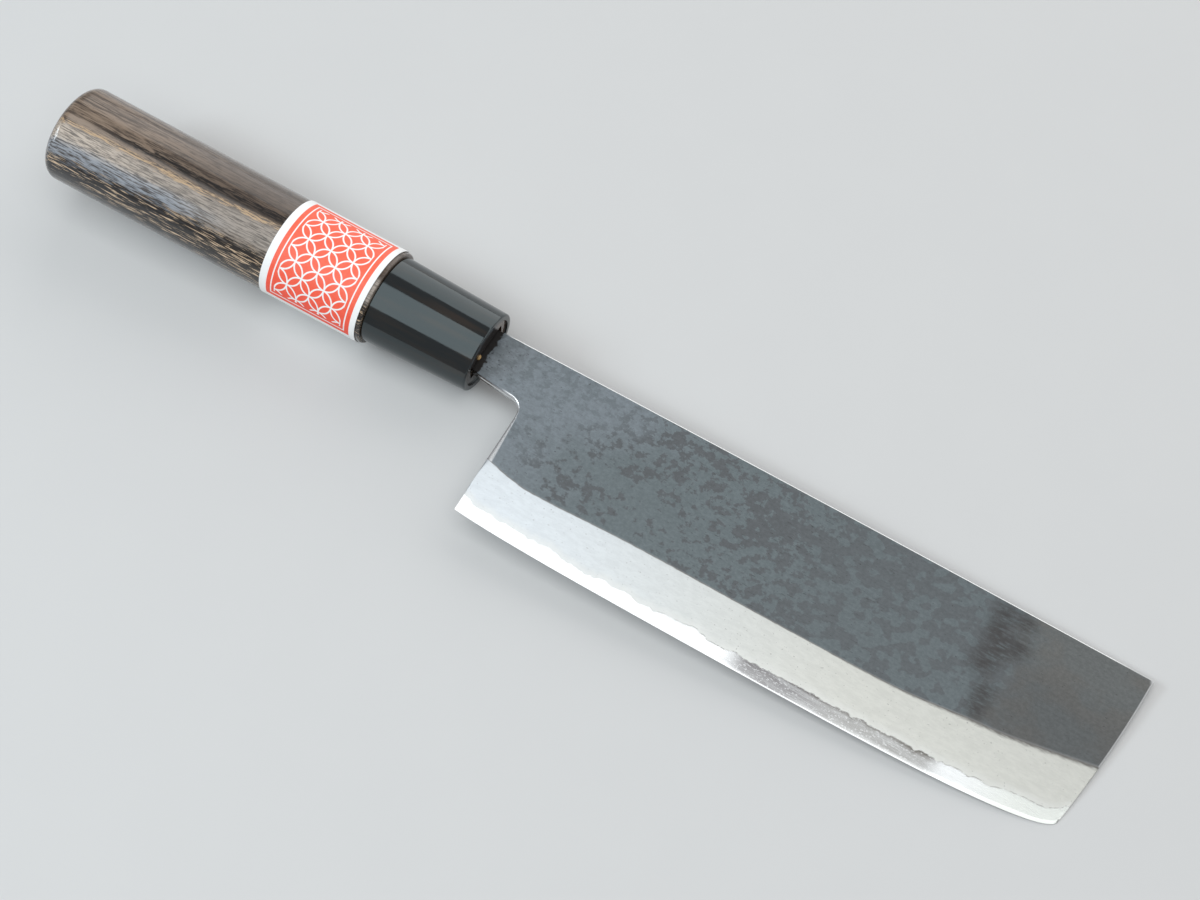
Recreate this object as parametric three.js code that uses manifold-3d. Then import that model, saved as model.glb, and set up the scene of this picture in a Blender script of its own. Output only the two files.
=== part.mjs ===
// Vegetable knife with a tall straight blade forged in three layers and a round wooden handle.
//
// The blade is a hard steel core between two soft iron sides. The sides keep their black forge
// scale above the grinding line. Below it both faces are ground to a wedge, so the core comes out
// as a strip along the cutting edge. The tang runs into a slot burnt in the wood, a dark ring
// holds the mouth of the handle and a paper band is wrapped round the wood behind that ring.
//
// Millimetres. The knife is drawn with X along it, from the mouth of the handle at X = 0 to the
// tip, Y up from the cutting edge to the spine at Y = 0, and Z through the blade. At the end it
// is laid on its left side, as on a table, with +Z up and its middle over the origin.
import * as THREE from 'three';
import { mergeVertices } from 'three/addons/utils/BufferGeometryUtils.js';
import Module from 'manifold-3d';

const wasm = await Module();
wasm.setup();

// Blade outline
const BLADE_LENGTH = 165;        // heel to the lower corner of the tip
const NECK_LENGTH = 15.8;        // mouth of the handle to the heel
const NECK_HEIGHT = 13.4;        // neck at the mouth of the handle
const NECK_FLARE = 1.2;          // how much deeper the neck is where it meets the heel
const CHOIL_ROUND = 4.8;         // rounding of the inside corner between neck and heel
const HEEL_HEIGHT = 48.4;
const BELLY_HEIGHT = 49.8;       // deepest place of the cutting edge, below the spine
const BELLY_AT = 71;             // its distance from the heel
const TIP_HEIGHT = 43.4;         // where the edge runs out into the front of the blade
const TIP_LEAD = 5.3;            // how far the spine reaches past the lower corner of the tip
const TIP_BOW = 0.9;             // how far the front of the blade bows out
const SPINE_CROWN = 0.4;         // how far the spine bows up at its middle
// How soon the edge eases into its belly from the heel, and out of it to the tip, each as two
// shares of that stretch
const HEEL_EASE = [0.2, 0.6];
const TIP_EASE = [0.42, 1];
// The grinding line: share of the way from the heel to the tip, and depth below the spine
const GRIND_LINE = [
  [0, 32.6],
  [0.05, 34.5],
  [0.1, 35.1],
  [0.26, 34.2],
  [0.5, 34.1],
  [0.68, 33.6],
  [0.79, 31.7],
  [0.86, 30.5],
  [1, 26.2],
];

// Blade thickness
const SPINE_AT_HEEL = 3.2;
const SPINE_AT_TIP = 1.9;
const GRIND_LINE_AT_HEEL = 2.4;
const CORE_AT_HEEL = 0.75;
const CORE_AT_TIP = 0.5;
const SMALL_BEVEL_HEIGHT = 0.7;  // the last honed bevel, up from the cutting edge
const SMALL_BEVEL_THICK = 0.32;
const EDGE_THICK = 0.1;
const ARRIS_ROUND = 0.35;        // rounding where the flats meet the spine, tip, heel and neck

// The forge weld between the layers: its thickness, and how far it waves at two wavelengths
const WELD_GAP = 0.02;
const WELD_LONG_RISE = 0.017;
const WELD_LONG_WAVE = 37;
const WELD_SHORT_RISE = 0.011;
const WELD_SHORT_WAVE = 14.5;

// Tang
const TANG_SHOULDER = 2.4;       // where the flats end, ahead of the mouth of the handle
const TANG_RELIEF = 0.08;        // how much the tang is set in from the flats there
const TANG_END_HEIGHT = 6;
const TANG_END_THICK = 2;

// Handle
const HANDLE_LENGTH = 133.2;     // mouth to the end of the butt
const SOLID_BUTT = 42;           // wood left behind the end of the tang
const CHEEK_HEIGHT = 2.2;        // wood of the tenon above and below the burnt slot
const CHEEK_THICK = 5.65;        // wood of the tenon beside the slot
const FERRULE_LENGTH = 30.8;
const FERRULE_WALL = 1.6;
const FERRULE_FLARE = 1.0;       // growth of its half width from front to back
const FERRULE_RIM = 0.5;         // rounding of its front edge
const FERRULE_BACK_RIM = 0.25;   // rounding of its back edge
const SHOULDER_STEP = 1;         // how far the wood stands proud of the ferrule
const SHOULDER_ROUND = 0.4;
const HANDLE_SWELL = 0.5;        // growth of the wood's half width from shoulder to butt
const BUTT_ROUND = 3;
const BUTT_DOME = 2;
const TENON_RECESS = 0.5;        // end of the tenon, behind the front of the ferrule
const MOUTH_DEPTH = 7;           // depth of the wide mouth of the slot
const MOUTH_GAP = 1;             // room left round the tang by the burning in
const RESIN_RECESS = 2;          // resin surface, behind the front of the ferrule
const BAND_WIDTH = 29.3;
const BAND_SETBACK = 1.2;        // bare wood between the band and the ferrule
const BAND_PAPER = 0.2;
const BAND_LAP = 7;              // how far the end of the paper overlaps its start

// Clearances
const GLUE_GAP = 0.1;            // between pieces glued to each other
const SLOT_GAP = 0.3;            // between tang and wood, deep in the slot
const SLOT_END_ROOM = 1;

// Fineness of round shapes
const OVAL_SIDES = 72;
const CURVE_STEPS = 18;
const BLADE_STEPS = 60;
const ROUND_STEPS = 4;

// Spare stock on what gets cut, so that no two faces fall on each other
const SPARE = 2;
const OVERCUT = 0.3;

// Places that follow from the sizes above
const heelX = NECK_LENGTH;
const lowerTipX = heelX + BLADE_LENGTH;
const tipX = lowerTipX + TIP_LEAD;
const axisY = -NECK_HEIGHT / 2;
const tangEndX = -(HANDLE_LENGTH - SOLID_BUTT);
const shoulderX = -FERRULE_LENGTH - GLUE_GAP;
const bandFrontX = shoulderX - BAND_SETBACK;
const buttX = -HANDLE_LENGTH;

// A flat of the blade is one plane. Its half thickness falls evenly from the heel to the tip, and
// from the spine down to the grinding line.
const taperAlong = (SPINE_AT_HEEL - SPINE_AT_TIP) / 2 / (tipX - heelX);
const taperDown = (SPINE_AT_HEEL - GRIND_LINE_AT_HEEL) / 2 / GRIND_LINE[0][1];

function flatHalf(x, y) {
  return SPINE_AT_HEEL / 2 - taperAlong * (x - heelX) + taperDown * y;
}

// Height of a drawn line at a given x, from points that run along x
function heightAt(points, x) {
  const next = points.findIndex((point) => point.x >= x);
  if (next === 0) return points[0].y;
  if (next < 0) return points.at(-1).y;
  const from = points[next - 1];
  const to = points[next];
  return THREE.MathUtils.mapLinear(x, from.x, to.x, from.y, to.y);
}

// The cutting edge: a slow belly from the heel, then a rise into the tip
function cuttingEdge() {
  const bellyX = heelX + BELLY_AT;
  const riseX = lowerTipX - bellyX;
  const heelToBelly = new THREE.CubicBezierCurve(
    new THREE.Vector2(heelX, -HEEL_HEIGHT),
    new THREE.Vector2(heelX + BELLY_AT * HEEL_EASE[0], -BELLY_HEIGHT),
    new THREE.Vector2(heelX + BELLY_AT * HEEL_EASE[1], -BELLY_HEIGHT),
    new THREE.Vector2(bellyX, -BELLY_HEIGHT),
  );
  const bellyToTip = new THREE.CubicBezierCurve(
    new THREE.Vector2(bellyX, -BELLY_HEIGHT),
    new THREE.Vector2(bellyX + riseX * TIP_EASE[0], -BELLY_HEIGHT),
    new THREE.Vector2(bellyX + riseX * TIP_EASE[1], -BELLY_HEIGHT),
    new THREE.Vector2(lowerTipX, -TIP_HEIGHT),
  );
  return [...heelToBelly.getPoints(CURVE_STEPS), ...bellyToTip.getPoints(2 * CURVE_STEPS).slice(1)];
}

// The grinding line, where the black flats give way to the ground faces
function grindingLine() {
  const marks = GRIND_LINE.map(([share, depth]) => {
    return new THREE.Vector2(THREE.MathUtils.lerp(heelX, tipX, share), -depth);
  });
  return new THREE.SplineCurve(marks).getPoints(3 * CURVE_STEPS);
}

const edgeLine = cuttingEdge();
const grindLine = grindingLine();

// Half thickness of the core. Hammering leaves the weld slightly wavy along the blade.
function coreHalf(x) {
  const even = THREE.MathUtils.mapLinear(x, heelX, tipX, CORE_AT_HEEL, CORE_AT_TIP) / 2;
  const longWave = WELD_LONG_RISE * Math.sin((2 * Math.PI * x) / WELD_LONG_WAVE);
  const shortWave = WELD_SHORT_RISE * Math.sin((2 * Math.PI * x) / WELD_SHORT_WAVE);
  return even + longWave + shortWave;
}

// The ground face at x, as a straight line from the grinding line to the small bevel
function groundFace(x) {
  const top = heightAt(grindLine, x);
  const edge = heightAt(edgeLine, x);
  const foot = edge + SMALL_BEVEL_HEIGHT;
  const topHalf = flatHalf(x, top);
  const footHalf = SMALL_BEVEL_THICK / 2;
  const slope = (topHalf - footHalf) / (top - foot);
  const heightOf = (half) => foot + (half - footHalf) / slope;
  return { top, edge, foot, footHalf, heightOf };
}

// The front of the blade, a slightly bowed line from the spine down to the cutting edge
const bladeFront = new THREE.QuadraticBezierCurve(
  new THREE.Vector2(tipX, 0),
  new THREE.Vector2((tipX + lowerTipX) / 2 + 2 * TIP_BOW, -TIP_HEIGHT / 2),
  new THREE.Vector2(lowerTipX, -TIP_HEIGHT),
);

// The blade seen from its side. The cut runs below the edge, which the ground faces shape.
function bladeOutline() {
  const tangTop = axisY + TANG_END_HEIGHT / 2;
  const tangBottom = axisY - TANG_END_HEIGHT / 2;
  const cornerY = -NECK_HEIGHT - NECK_FLARE;
  const below = -BELLY_HEIGHT - SPARE;
  const outline = new THREE.Shape();
  outline.moveTo(tangEndX, tangTop);
  outline.lineTo(0, 0);
  outline.quadraticCurveTo(tipX / 2, 2 * SPINE_CROWN, tipX, 0);
  outline.quadraticCurveTo(bladeFront.v1.x, bladeFront.v1.y, bladeFront.v2.x, bladeFront.v2.y);
  outline.lineTo(lowerTipX - TIP_LEAD, below);
  outline.lineTo(heelX, below);
  outline.lineTo(heelX, cornerY - CHOIL_ROUND);
  outline.quadraticCurveTo(heelX, cornerY, heelX - CHOIL_ROUND, cornerY);
  outline.lineTo(0, -NECK_HEIGHT);
  outline.lineTo(tangEndX, tangBottom);
  outline.closePath();
  return outline;
}

// A closed mesh as a solid that can be cut, and back again
function solidOf(geometry) {
  const bare = geometry.clone();
  bare.deleteAttribute('normal');
  bare.deleteAttribute('uv');
  const merged = mergeVertices(bare, 1e-4);
  const vertProperties = new Float32Array(merged.attributes.position.array);
  const triVerts = new Uint32Array(merged.index.array);
  return new wasm.Manifold(new wasm.Mesh({ numProp: 3, vertProperties, triVerts }));
}

function geometryOf(solid) {
  const mesh = solid.getMesh();
  const geometry = new THREE.BufferGeometry();
  geometry.setAttribute('position', new THREE.BufferAttribute(mesh.vertProperties, 3));
  geometry.setIndex(new THREE.BufferAttribute(mesh.triVerts, 1));
  geometry.computeVertexNormals();
  return geometry;
}

// A skin over rings of points, each ring turning from +Y towards +Z. The rings run along +X and
// get flat ends, or come back to the first ring when the skin is a hoop.
function skinOver(rings, isHoop = false) {
  const count = rings[0].length;
  const corners = rings.flat();
  const faces = [];
  const last = isHoop ? rings.length : rings.length - 1;
  for (let i = 0; i < last; i += 1) {
    const here = i * count;
    const there = ((i + 1) % rings.length) * count;
    for (let j = 0; j < count; j += 1) {
      const next = (j + 1) % count;
      faces.push(here + j, here + next, there + next);
      faces.push(here + j, there + next, there + j);
    }
  }
  if (!isHoop) {
    const end = (rings.length - 1) * count;
    const flat = (ring) => ring.map((point) => new THREE.Vector2(point.y, point.z));
    for (const [a, b, c] of THREE.ShapeUtils.triangulateShape(flat(rings[0]), [])) {
      faces.push(a, c, b);
    }
    for (const [a, b, c] of THREE.ShapeUtils.triangulateShape(flat(rings.at(-1)), [])) {
      faces.push(end + a, end + b, end + c);
    }
  }
  const geometry = new THREE.BufferGeometry();
  const positions = corners.flatMap((point) => [point.x, point.y, point.z]);
  geometry.setAttribute('position', new THREE.Float32BufferAttribute(positions, 3));
  geometry.setIndex(faces);
  return geometry;
}

// An oval ring round the axis of the handle
function ovalRing(x, halfHeight, halfThick) {
  const ring = [];
  for (let j = 0; j < OVAL_SIDES; j += 1) {
    const turn = (2 * Math.PI * j) / OVAL_SIDES;
    const y = axisY + halfHeight * Math.cos(turn);
    ring.push(new THREE.Vector3(x, y, halfThick * Math.sin(turn)));
  }
  return ring;
}

// A four-sided ring, between two heights and two sides
function boxRing(x, bottom, top, half) {
  return [
    new THREE.Vector3(x, top, -half),
    new THREE.Vector3(x, top, half),
    new THREE.Vector3(x, bottom, half),
    new THREE.Vector3(x, bottom, -half),
  ];
}

// Places along the blade where its sections are drawn, past both ends
function bladeStations() {
  const stations = [];
  for (let i = 0; i <= BLADE_STEPS; i += 1) {
    stations.push(THREE.MathUtils.lerp(heelX, tipX, i / BLADE_STEPS));
  }
  return [tangEndX - SPARE, TANG_SHOULDER - TANG_RELIEF, TANG_SHOULDER, ...stations, tipX + SPARE];
}

// Half thickness of the tang, which is set in from the flats and thins towards its end
function tangHalf(x) {
  const mouthHalf = flatHalf(0, -NECK_HEIGHT) - TANG_RELIEF;
  return THREE.MathUtils.mapLinear(x, 0, tangEndX, mouthHalf, TANG_END_THICK / 2);
}

// The hard core: an even layer that is ground to the cutting edge
function coreLayer() {
  const rings = bladeStations().map((x) => {
    const { edge, foot, footHalf, heightOf } = groundFace(x);
    const half = coreHalf(x);
    const side = [
      [SPARE, half],
      [heightOf(half), half],
      [foot, footHalf],
      [edge, EDGE_THICK / 2],
    ];
    const right = side.map(([y, z]) => new THREE.Vector3(x, y, z));
    const left = side.reverse().map(([y, z]) => new THREE.Vector3(x, y, -z));
    return [...right, ...left];
  });
  const depth = 2 * SPINE_AT_HEEL;
  const cutter = new THREE.ExtrudeGeometry(bladeOutline(), {
    depth,
    bevelEnabled: false,
    curveSegments: CURVE_STEPS,
  });
  cutter.translate(0, 0, -depth / 2);
  return solidOf(skinOver(rings)).intersect(solidOf(cutter));
}

// The right iron layer. Its ground face and its tang come from the sections. The flat is the top
// of the cutter, tipped to the plane of the flat, so the rounding of its arris follows it. The
// sections stand over that plane until the cutter takes them down.
function ironLayer() {
  const rings = bladeStations().map((x) => {
    const { top, heightOf } = groundFace(x);
    const inner = coreHalf(x) + WELD_GAP;
    const isTang = x < TANG_SHOULDER;
    const spineHalf = isTang ? tangHalf(x) : flatHalf(x, SPARE) + OVERCUT;
    const grindHalf = isTang ? tangHalf(x) : flatHalf(x, top) + OVERCUT;
    return [
      new THREE.Vector3(x, SPARE, inner),
      new THREE.Vector3(x, SPARE, spineHalf),
      new THREE.Vector3(x, heightOf(grindHalf), grindHalf),
      new THREE.Vector3(x, heightOf(inner), inner),
    ];
  });
  const depth = 2 * SPINE_AT_HEEL;
  const cutter = new THREE.ExtrudeGeometry(bladeOutline(), {
    depth,
    bevelEnabled: true,
    bevelSize: ARRIS_ROUND,
    bevelOffset: -ARRIS_ROUND,
    bevelThickness: ARRIS_ROUND,
    bevelSegments: ROUND_STEPS / 2,
    curveSegments: CURVE_STEPS,
  });
  const topHalf = flatHalf(0, 0);
  const tipToFlat = new THREE.Matrix4().set(
    1, 0, 0, 0,
    0, 1, 0, 0,
    -taperAlong, taperDown, 1, topHalf - depth - ARRIS_ROUND,
    0, 0, 0, 1,
  );
  cutter.applyMatrix4(tipToFlat);
  return solidOf(skinOver(rings)).intersect(solidOf(cutter));
}

// The same layer on the other side of the core
function mirrored(geometry) {
  const other = geometry.clone();
  other.applyMatrix4(new THREE.Matrix4().makeScale(1, 1, -1));
  const faces = other.index.array;
  for (let i = 0; i < faces.length; i += 3) {
    [faces[i], faces[i + 1]] = [faces[i + 1], faces[i]];
  }
  other.computeVertexNormals();
  return other;
}

// Half sizes of the handle's ovals. The tenon is as large as the slot and its cheeks need, the
// ferrule goes round the tenon and the wood stands a little proud of the ferrule.
const tenonFront = {
  height: NECK_HEIGHT / 2 + MOUTH_GAP + CHEEK_HEIGHT,
  thick: tangHalf(0) + MOUTH_GAP + CHEEK_THICK,
};

function grown(oval, by) {
  return { height: oval.height + by, thick: oval.thick + by };
}

function tenonOval(x) {
  return grown(tenonFront, (FERRULE_FLARE * -x) / FERRULE_LENGTH);
}

const shoulderOval = grown(tenonOval(-FERRULE_LENGTH), GLUE_GAP + FERRULE_WALL + SHOULDER_STEP);

function woodOval(x) {
  const along = THREE.MathUtils.inverseLerp(shoulderX, buttX, x);
  return grown(shoulderOval, HANDLE_SWELL * along);
}

function ringOf(x, oval) {
  return ovalRing(x, oval.height, oval.thick);
}

// The wooden handle: a domed butt with a round edge, a plain oval body and a tenon at its front
// for the ferrule, with the slot for the tang burnt in from the end of the tenon
function woodenHandle() {
  const rings = [];
  const roundX = buttX + BUTT_DOME + BUTT_ROUND;
  const edgeOval = grown(woodOval(roundX), -BUTT_ROUND);
  for (let i = 1; i < ROUND_STEPS; i += 1) {
    const reach = i / ROUND_STEPS;
    const x = buttX + BUTT_DOME * reach * reach;
    rings.push(ovalRing(x, edgeOval.height * reach, edgeOval.thick * reach));
  }
  for (let i = 0; i <= 2 * ROUND_STEPS; i += 1) {
    const turn = (Math.PI / 2) * (i / (2 * ROUND_STEPS));
    const x = roundX - BUTT_ROUND * Math.cos(turn);
    rings.push(ringOf(x, grown(edgeOval, BUTT_ROUND * Math.sin(turn))));
  }
  for (let i = 0; i <= ROUND_STEPS; i += 1) {
    const turn = (Math.PI / 2) * (i / ROUND_STEPS);
    const x = shoulderX - SHOULDER_ROUND * (1 - Math.sin(turn));
    rings.push(ringOf(x, grown(woodOval(x), -SHOULDER_ROUND * (1 - Math.cos(turn)))));
  }
  rings.push(ringOf(shoulderX, tenonOval(shoulderX)));
  rings.push(ringOf(-TENON_RECESS, tenonOval(-TENON_RECESS)));

  const halfMouth = NECK_HEIGHT / 2 + MOUTH_GAP;
  const mouth = skinOver([
    boxRing(-MOUTH_DEPTH, axisY - halfMouth, axisY + halfMouth, tangHalf(0) + MOUTH_GAP),
    boxRing(SPARE, axisY - halfMouth, axisY + halfMouth, tangHalf(0) + MOUTH_GAP),
  ]);
  const halfEnd = TANG_END_HEIGHT / 2 + SLOT_GAP;
  const halfStart = NECK_HEIGHT / 2 + SLOT_GAP;
  const slot = skinOver([
    boxRing(tangEndX - SLOT_END_ROOM, axisY - halfEnd, axisY + halfEnd, tangHalf(tangEndX) + SLOT_GAP),
    boxRing(0, axisY - halfStart, axisY + halfStart, tangHalf(0) + SLOT_GAP),
  ]);
  return solidOf(skinOver(rings)).subtract(solidOf(mouth)).subtract(solidOf(slot));
}

// The ferrule: a tapered oval ring with a well rounded front edge
function ferruleRing() {
  const back = -FERRULE_LENGTH;
  const rings = [];
  const outer = (x, inset) => ringOf(x, grown(tenonOval(x), GLUE_GAP + FERRULE_WALL - inset));
  const inner = (x, inset) => ringOf(x, grown(tenonOval(x), GLUE_GAP + inset));
  for (let i = 0; i <= ROUND_STEPS / 2; i += 1) {
    const turn = (Math.PI / 2) * (i / (ROUND_STEPS / 2));
    const x = back + FERRULE_BACK_RIM * (1 - Math.cos(turn));
    rings.push(outer(x, FERRULE_BACK_RIM * (1 - Math.sin(turn))));
  }
  for (let i = 0; i <= ROUND_STEPS; i += 1) {
    const turn = (Math.PI / 2) * (i / ROUND_STEPS);
    const x = -FERRULE_RIM * (1 - Math.sin(turn));
    rings.push(outer(x, FERRULE_RIM * (1 - Math.cos(turn))));
  }
  rings.push(inner(0, 0));
  rings.push(inner(back, 0));
  return skinOver(rings, true);
}

// The paper band: one turn of paper glued to the wood, with its end lapped over its start on the
// underside of the handle
function paperBand() {
  const back = bandFrontX - BAND_WIDTH;
  const under = (3 * Math.PI) / 2;
  const wrap = (x, layers) => {
    const oval = woodOval(x);
    const lapTurn = BAND_LAP / oval.height;
    return ringOf(x, oval).map((point, j) => {
      const turn = (2 * Math.PI * j) / OVAL_SIDES;
      const isLap = Math.abs(turn - under) < lapTurn / 2;
      const proud = GLUE_GAP + BAND_PAPER * (isLap && layers > 0 ? layers + 1 : layers);
      const y = axisY + (oval.height + proud) * Math.cos(turn);
      return new THREE.Vector3(x, y, (oval.thick + proud) * Math.sin(turn));
    });
  };
  return skinOver([wrap(back, 1), wrap(bandFrontX, 1), wrap(bandFrontX, 0), wrap(back, 0)], true);
}

// The resin that seals the mouth of the slot round the tang
function tangResin() {
  const halfHeight = NECK_HEIGHT / 2;
  const rectangle = (path, by) => {
    const half = tangHalf(0) + by;
    path.moveTo(axisY - halfHeight - by, -half);
    path.lineTo(axisY + halfHeight + by, -half);
    path.lineTo(axisY + halfHeight + by, half);
    path.lineTo(axisY - halfHeight - by, half);
    path.closePath();
    return path;
  };
  const plug = rectangle(new THREE.Shape(), MOUTH_GAP - GLUE_GAP);
  plug.holes.push(rectangle(new THREE.Path(), GLUE_GAP));
  const depth = MOUTH_DEPTH - RESIN_RECESS - GLUE_GAP;
  const geometry = new THREE.ExtrudeGeometry(plug, { depth, bevelEnabled: false });
  const alongHandle = new THREE.Matrix4().makeBasis(
    new THREE.Vector3(0, 1, 0),
    new THREE.Vector3(0, 0, 1),
    new THREE.Vector3(1, 0, 0),
  );
  geometry.applyMatrix4(alongHandle);
  geometry.translate(-RESIN_RECESS - depth, 0, 0);
  return geometry;
}

// Finishes
const scaledIron = new THREE.MeshStandardMaterial({ color: 0x55585a, roughness: 0.5, metalness: 0.8 });
const hardSteel = new THREE.MeshStandardMaterial({ color: 0xc4c4c8, roughness: 0.25, metalness: 1 });
const burntWood = new THREE.MeshStandardMaterial({ color: 0x4d3a2b, roughness: 0.45, metalness: 0 });
const darkRing = new THREE.MeshStandardMaterial({ color: 0x0b0b0c, roughness: 0.12, metalness: 0 });
const redPaper = new THREE.MeshStandardMaterial({ color: 0xe8563c, roughness: 0.7, metalness: 0 });
const resin = new THREE.MeshStandardMaterial({ color: 0x1c120b, roughness: 0.5, metalness: 0 });

const rightIron = geometryOf(ironLayer());
const pieces = [
  ['core_layer', geometryOf(coreLayer()), hardSteel],
  ['right_iron_layer', rightIron, scaledIron],
  ['left_iron_layer', mirrored(rightIron), scaledIron.clone()],
  ['wooden_handle', geometryOf(woodenHandle()), burntWood],
  ['ferrule', ferruleRing(), darkRing],
  ['paper_band', paperBand(), redPaper],
  ['tang_resin', tangResin(), resin],
];

const knife = new THREE.Group();
for (const [name, geometry, material] of pieces) {
  const mesh = new THREE.Mesh(geometry, material);
  mesh.name = name;
  knife.add(mesh);
}

// Laid on its left side, the knife touches the table under the front of the paper band and at the
// front of the left ground face. The plane through those places becomes the table.
const bandOval = grown(woodOval(bandFrontX), GLUE_GAP + 2 * BAND_PAPER);
const bandFoot = new THREE.Vector3(bandFrontX, axisY, -bandOval.thick);
const grindTip = bladeFront.getPoint(GRIND_LINE.at(-1)[1] / TIP_HEIGHT);
const grindFoot = new THREE.Vector3(grindTip.x, grindTip.y, -flatHalf(grindTip.x, grindTip.y));
const edgeFoot = new THREE.Vector3(lowerTipX, -TIP_HEIGHT, -SMALL_BEVEL_THICK / 2);
const tableUp = new THREE.Plane().setFromCoplanarPoints(bandFoot, edgeFoot, grindFoot).normal;
knife.quaternion.setFromUnitVectors(tableUp, new THREE.Vector3(0, 0, 1));
knife.updateMatrixWorld(true);
const box = new THREE.Box3().setFromObject(knife, true);
const middle = box.getCenter(new THREE.Vector3());
knife.position.set(-middle.x, -middle.y, -box.min.z);

const part = new THREE.Group();
part.add(knife);

export default part;
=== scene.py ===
# %% [markdown]
# # Dressing a forged vegetable knife
# The knife arrives as a packed CAD model: seven solids at their real size, in metres, lying on a
# table. In this lesson each solid is shown by a finer mesh of the same form, and every surface
# gets the finish that it has on the real knife.
# The first step loads the solids and keeps their box. The last step measures the box again, so
# that nobody has to take it on trust that the knife did not grow.

# %% Load the packed knife
import math
from functools import reduce

import bmesh
import bpy
import numpy as np
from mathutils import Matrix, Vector, noise


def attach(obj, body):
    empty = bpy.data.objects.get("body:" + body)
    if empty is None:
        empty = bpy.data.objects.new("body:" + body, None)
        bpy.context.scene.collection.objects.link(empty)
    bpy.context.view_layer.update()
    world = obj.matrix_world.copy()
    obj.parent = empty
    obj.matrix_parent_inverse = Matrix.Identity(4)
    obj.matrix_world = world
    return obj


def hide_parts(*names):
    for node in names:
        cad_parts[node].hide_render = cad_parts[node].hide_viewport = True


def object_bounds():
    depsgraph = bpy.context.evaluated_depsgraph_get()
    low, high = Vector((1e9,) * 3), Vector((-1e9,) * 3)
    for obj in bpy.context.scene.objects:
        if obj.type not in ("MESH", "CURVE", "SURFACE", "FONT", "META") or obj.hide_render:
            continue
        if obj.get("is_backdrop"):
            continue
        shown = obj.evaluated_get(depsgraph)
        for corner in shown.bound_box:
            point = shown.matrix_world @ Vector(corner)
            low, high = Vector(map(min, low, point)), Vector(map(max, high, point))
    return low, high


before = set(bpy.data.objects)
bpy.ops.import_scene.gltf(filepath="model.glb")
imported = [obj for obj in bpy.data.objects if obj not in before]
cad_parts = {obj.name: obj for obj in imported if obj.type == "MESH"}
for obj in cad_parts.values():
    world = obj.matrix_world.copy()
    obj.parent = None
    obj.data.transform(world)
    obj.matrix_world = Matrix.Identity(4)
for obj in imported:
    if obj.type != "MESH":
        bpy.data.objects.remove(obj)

cad_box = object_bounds()
scene = bpy.context.scene
print("Solids:", ", ".join(sorted(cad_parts)))

# %% [markdown]
# ## The knife's own axes
# A maker thinks of a knife along its length, from spine to edge, and through its thickness. On
# the table the knife lies a little tipped, so those directions are not quite X, Y and Z.
# They could be typed in, but then they would be wrong after any change to the CAD. The handle is
# the same on both sides and from top to bottom, so its main axes of inertia are the knife's own
# axes. They come from the volume of the solid, and not from its vertices, because vertices crowd
# where the shape is round.

# %% Find the axes from the handle
MM = 0.001
NECK_HEIGHT = 13.4


def corners_of(piece):
    """All vertices of a mesh as one array."""
    flat = np.empty(3 * len(piece.data.vertices))
    piece.data.vertices.foreach_get("co", flat)
    return flat.reshape(-1, 3)


def main_axes(piece):
    """Centre of volume of a closed mesh and its main axes, the thinnest way first."""
    piece.data.calc_loop_triangles()
    faces = np.array([face.vertices for face in piece.data.loop_triangles])
    a, b, c = corners_of(piece)[faces].transpose(1, 0, 2)
    wedge = np.einsum("ij,ij->i", a, np.cross(b, c)) / 6
    total = a + b + c
    centre = wedge @ total / 4 / wedge.sum()
    spread = sum(np.einsum("i,ij,ik->jk", wedge, p, p) for p in (a, b, c, total)) / 20
    spread -= wedge.sum() * np.outer(centre, centre)
    axes = np.linalg.eigh(spread)[1].T
    return centre, [axis * np.sign(axis[i]) for axis, i in zip(axes, (2, 1, 0))]


centre, (through, up, along) = main_axes(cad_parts["wooden_handle"])
front = ((corners_of(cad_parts["ferrule"]) - centre) @ along).max()
mouth = centre + along * front + up * NECK_HEIGHT / 2 * MM
print("Along the knife:", along.round(4), "through it:", through.round(4))
print("Mouth of the handle in mm:", (mouth / MM).round(2))

# %% [markdown]
# ## From points to a piece
# Everything below is drawn in the knife's own millimetres: x from the mouth of the handle to the
# tip, y up to the spine, z through the blade. One helper lays such points where the CAD knife
# lies and makes a mesh of them.
# A hair is taken off, a few thousandths of a millimetre, so that the finer mesh never reaches out
# of the CAD knife. The helper also stores the drawn position of every point in an attribute. The
# materials read it, so a stain or a streak can be placed in millimetres along the knife, with no
# image and no unwrapping.

# %% Helper for new pieces
HAIR_SMALLER = 0.99998


def laid(points):
    """Points in the knife's own millimetres, moved to where the CAD knife lies."""
    return mouth + np.asarray(points) @ np.array([along, up, through]) * MM * HAIR_SMALLER


def note_on(piece, name, values):
    """Stores one number for each point of a piece, for its materials to read."""
    note = piece.data.attributes.new(name, "FLOAT", "POINT")
    note.data.foreach_set("value", np.asarray(values, np.float32))


def new_piece(name, points, faces, node, slot):
    """A smooth piece that rides on the knife and stands for one CAD node."""
    mesh = bpy.data.meshes.new(name)
    mesh.from_pydata(laid(points).tolist(), [], faces)
    mesh.shade_smooth()
    drawn = mesh.attributes.new("knife_mm", "FLOAT_VECTOR", "POINT")
    drawn.data.foreach_set("vector", np.asarray(points, np.float32).ravel())
    piece = bpy.data.objects.new(name, mesh)
    scene.collection.objects.link(piece)
    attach(piece, "root")
    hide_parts(node)
    print(name, "has", len(points), "points and", len(faces), "faces")
    return piece


print("A point 100 mm from the mouth lands at", laid((100, 0, 0)).round(4), "m")

# %% [markdown]
# ## The lines of the blade
# Seen from its side, the blade is a few lines: the spine, the front, the cutting edge, the heel,
# the neck with its rounded corner, and the grinding line where the black flat gives way to the
# ground face. They could be traced as long lists of points. A smith draws them with two or three
# measures each, so here they are short curves, written as the height y at a place x.

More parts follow.
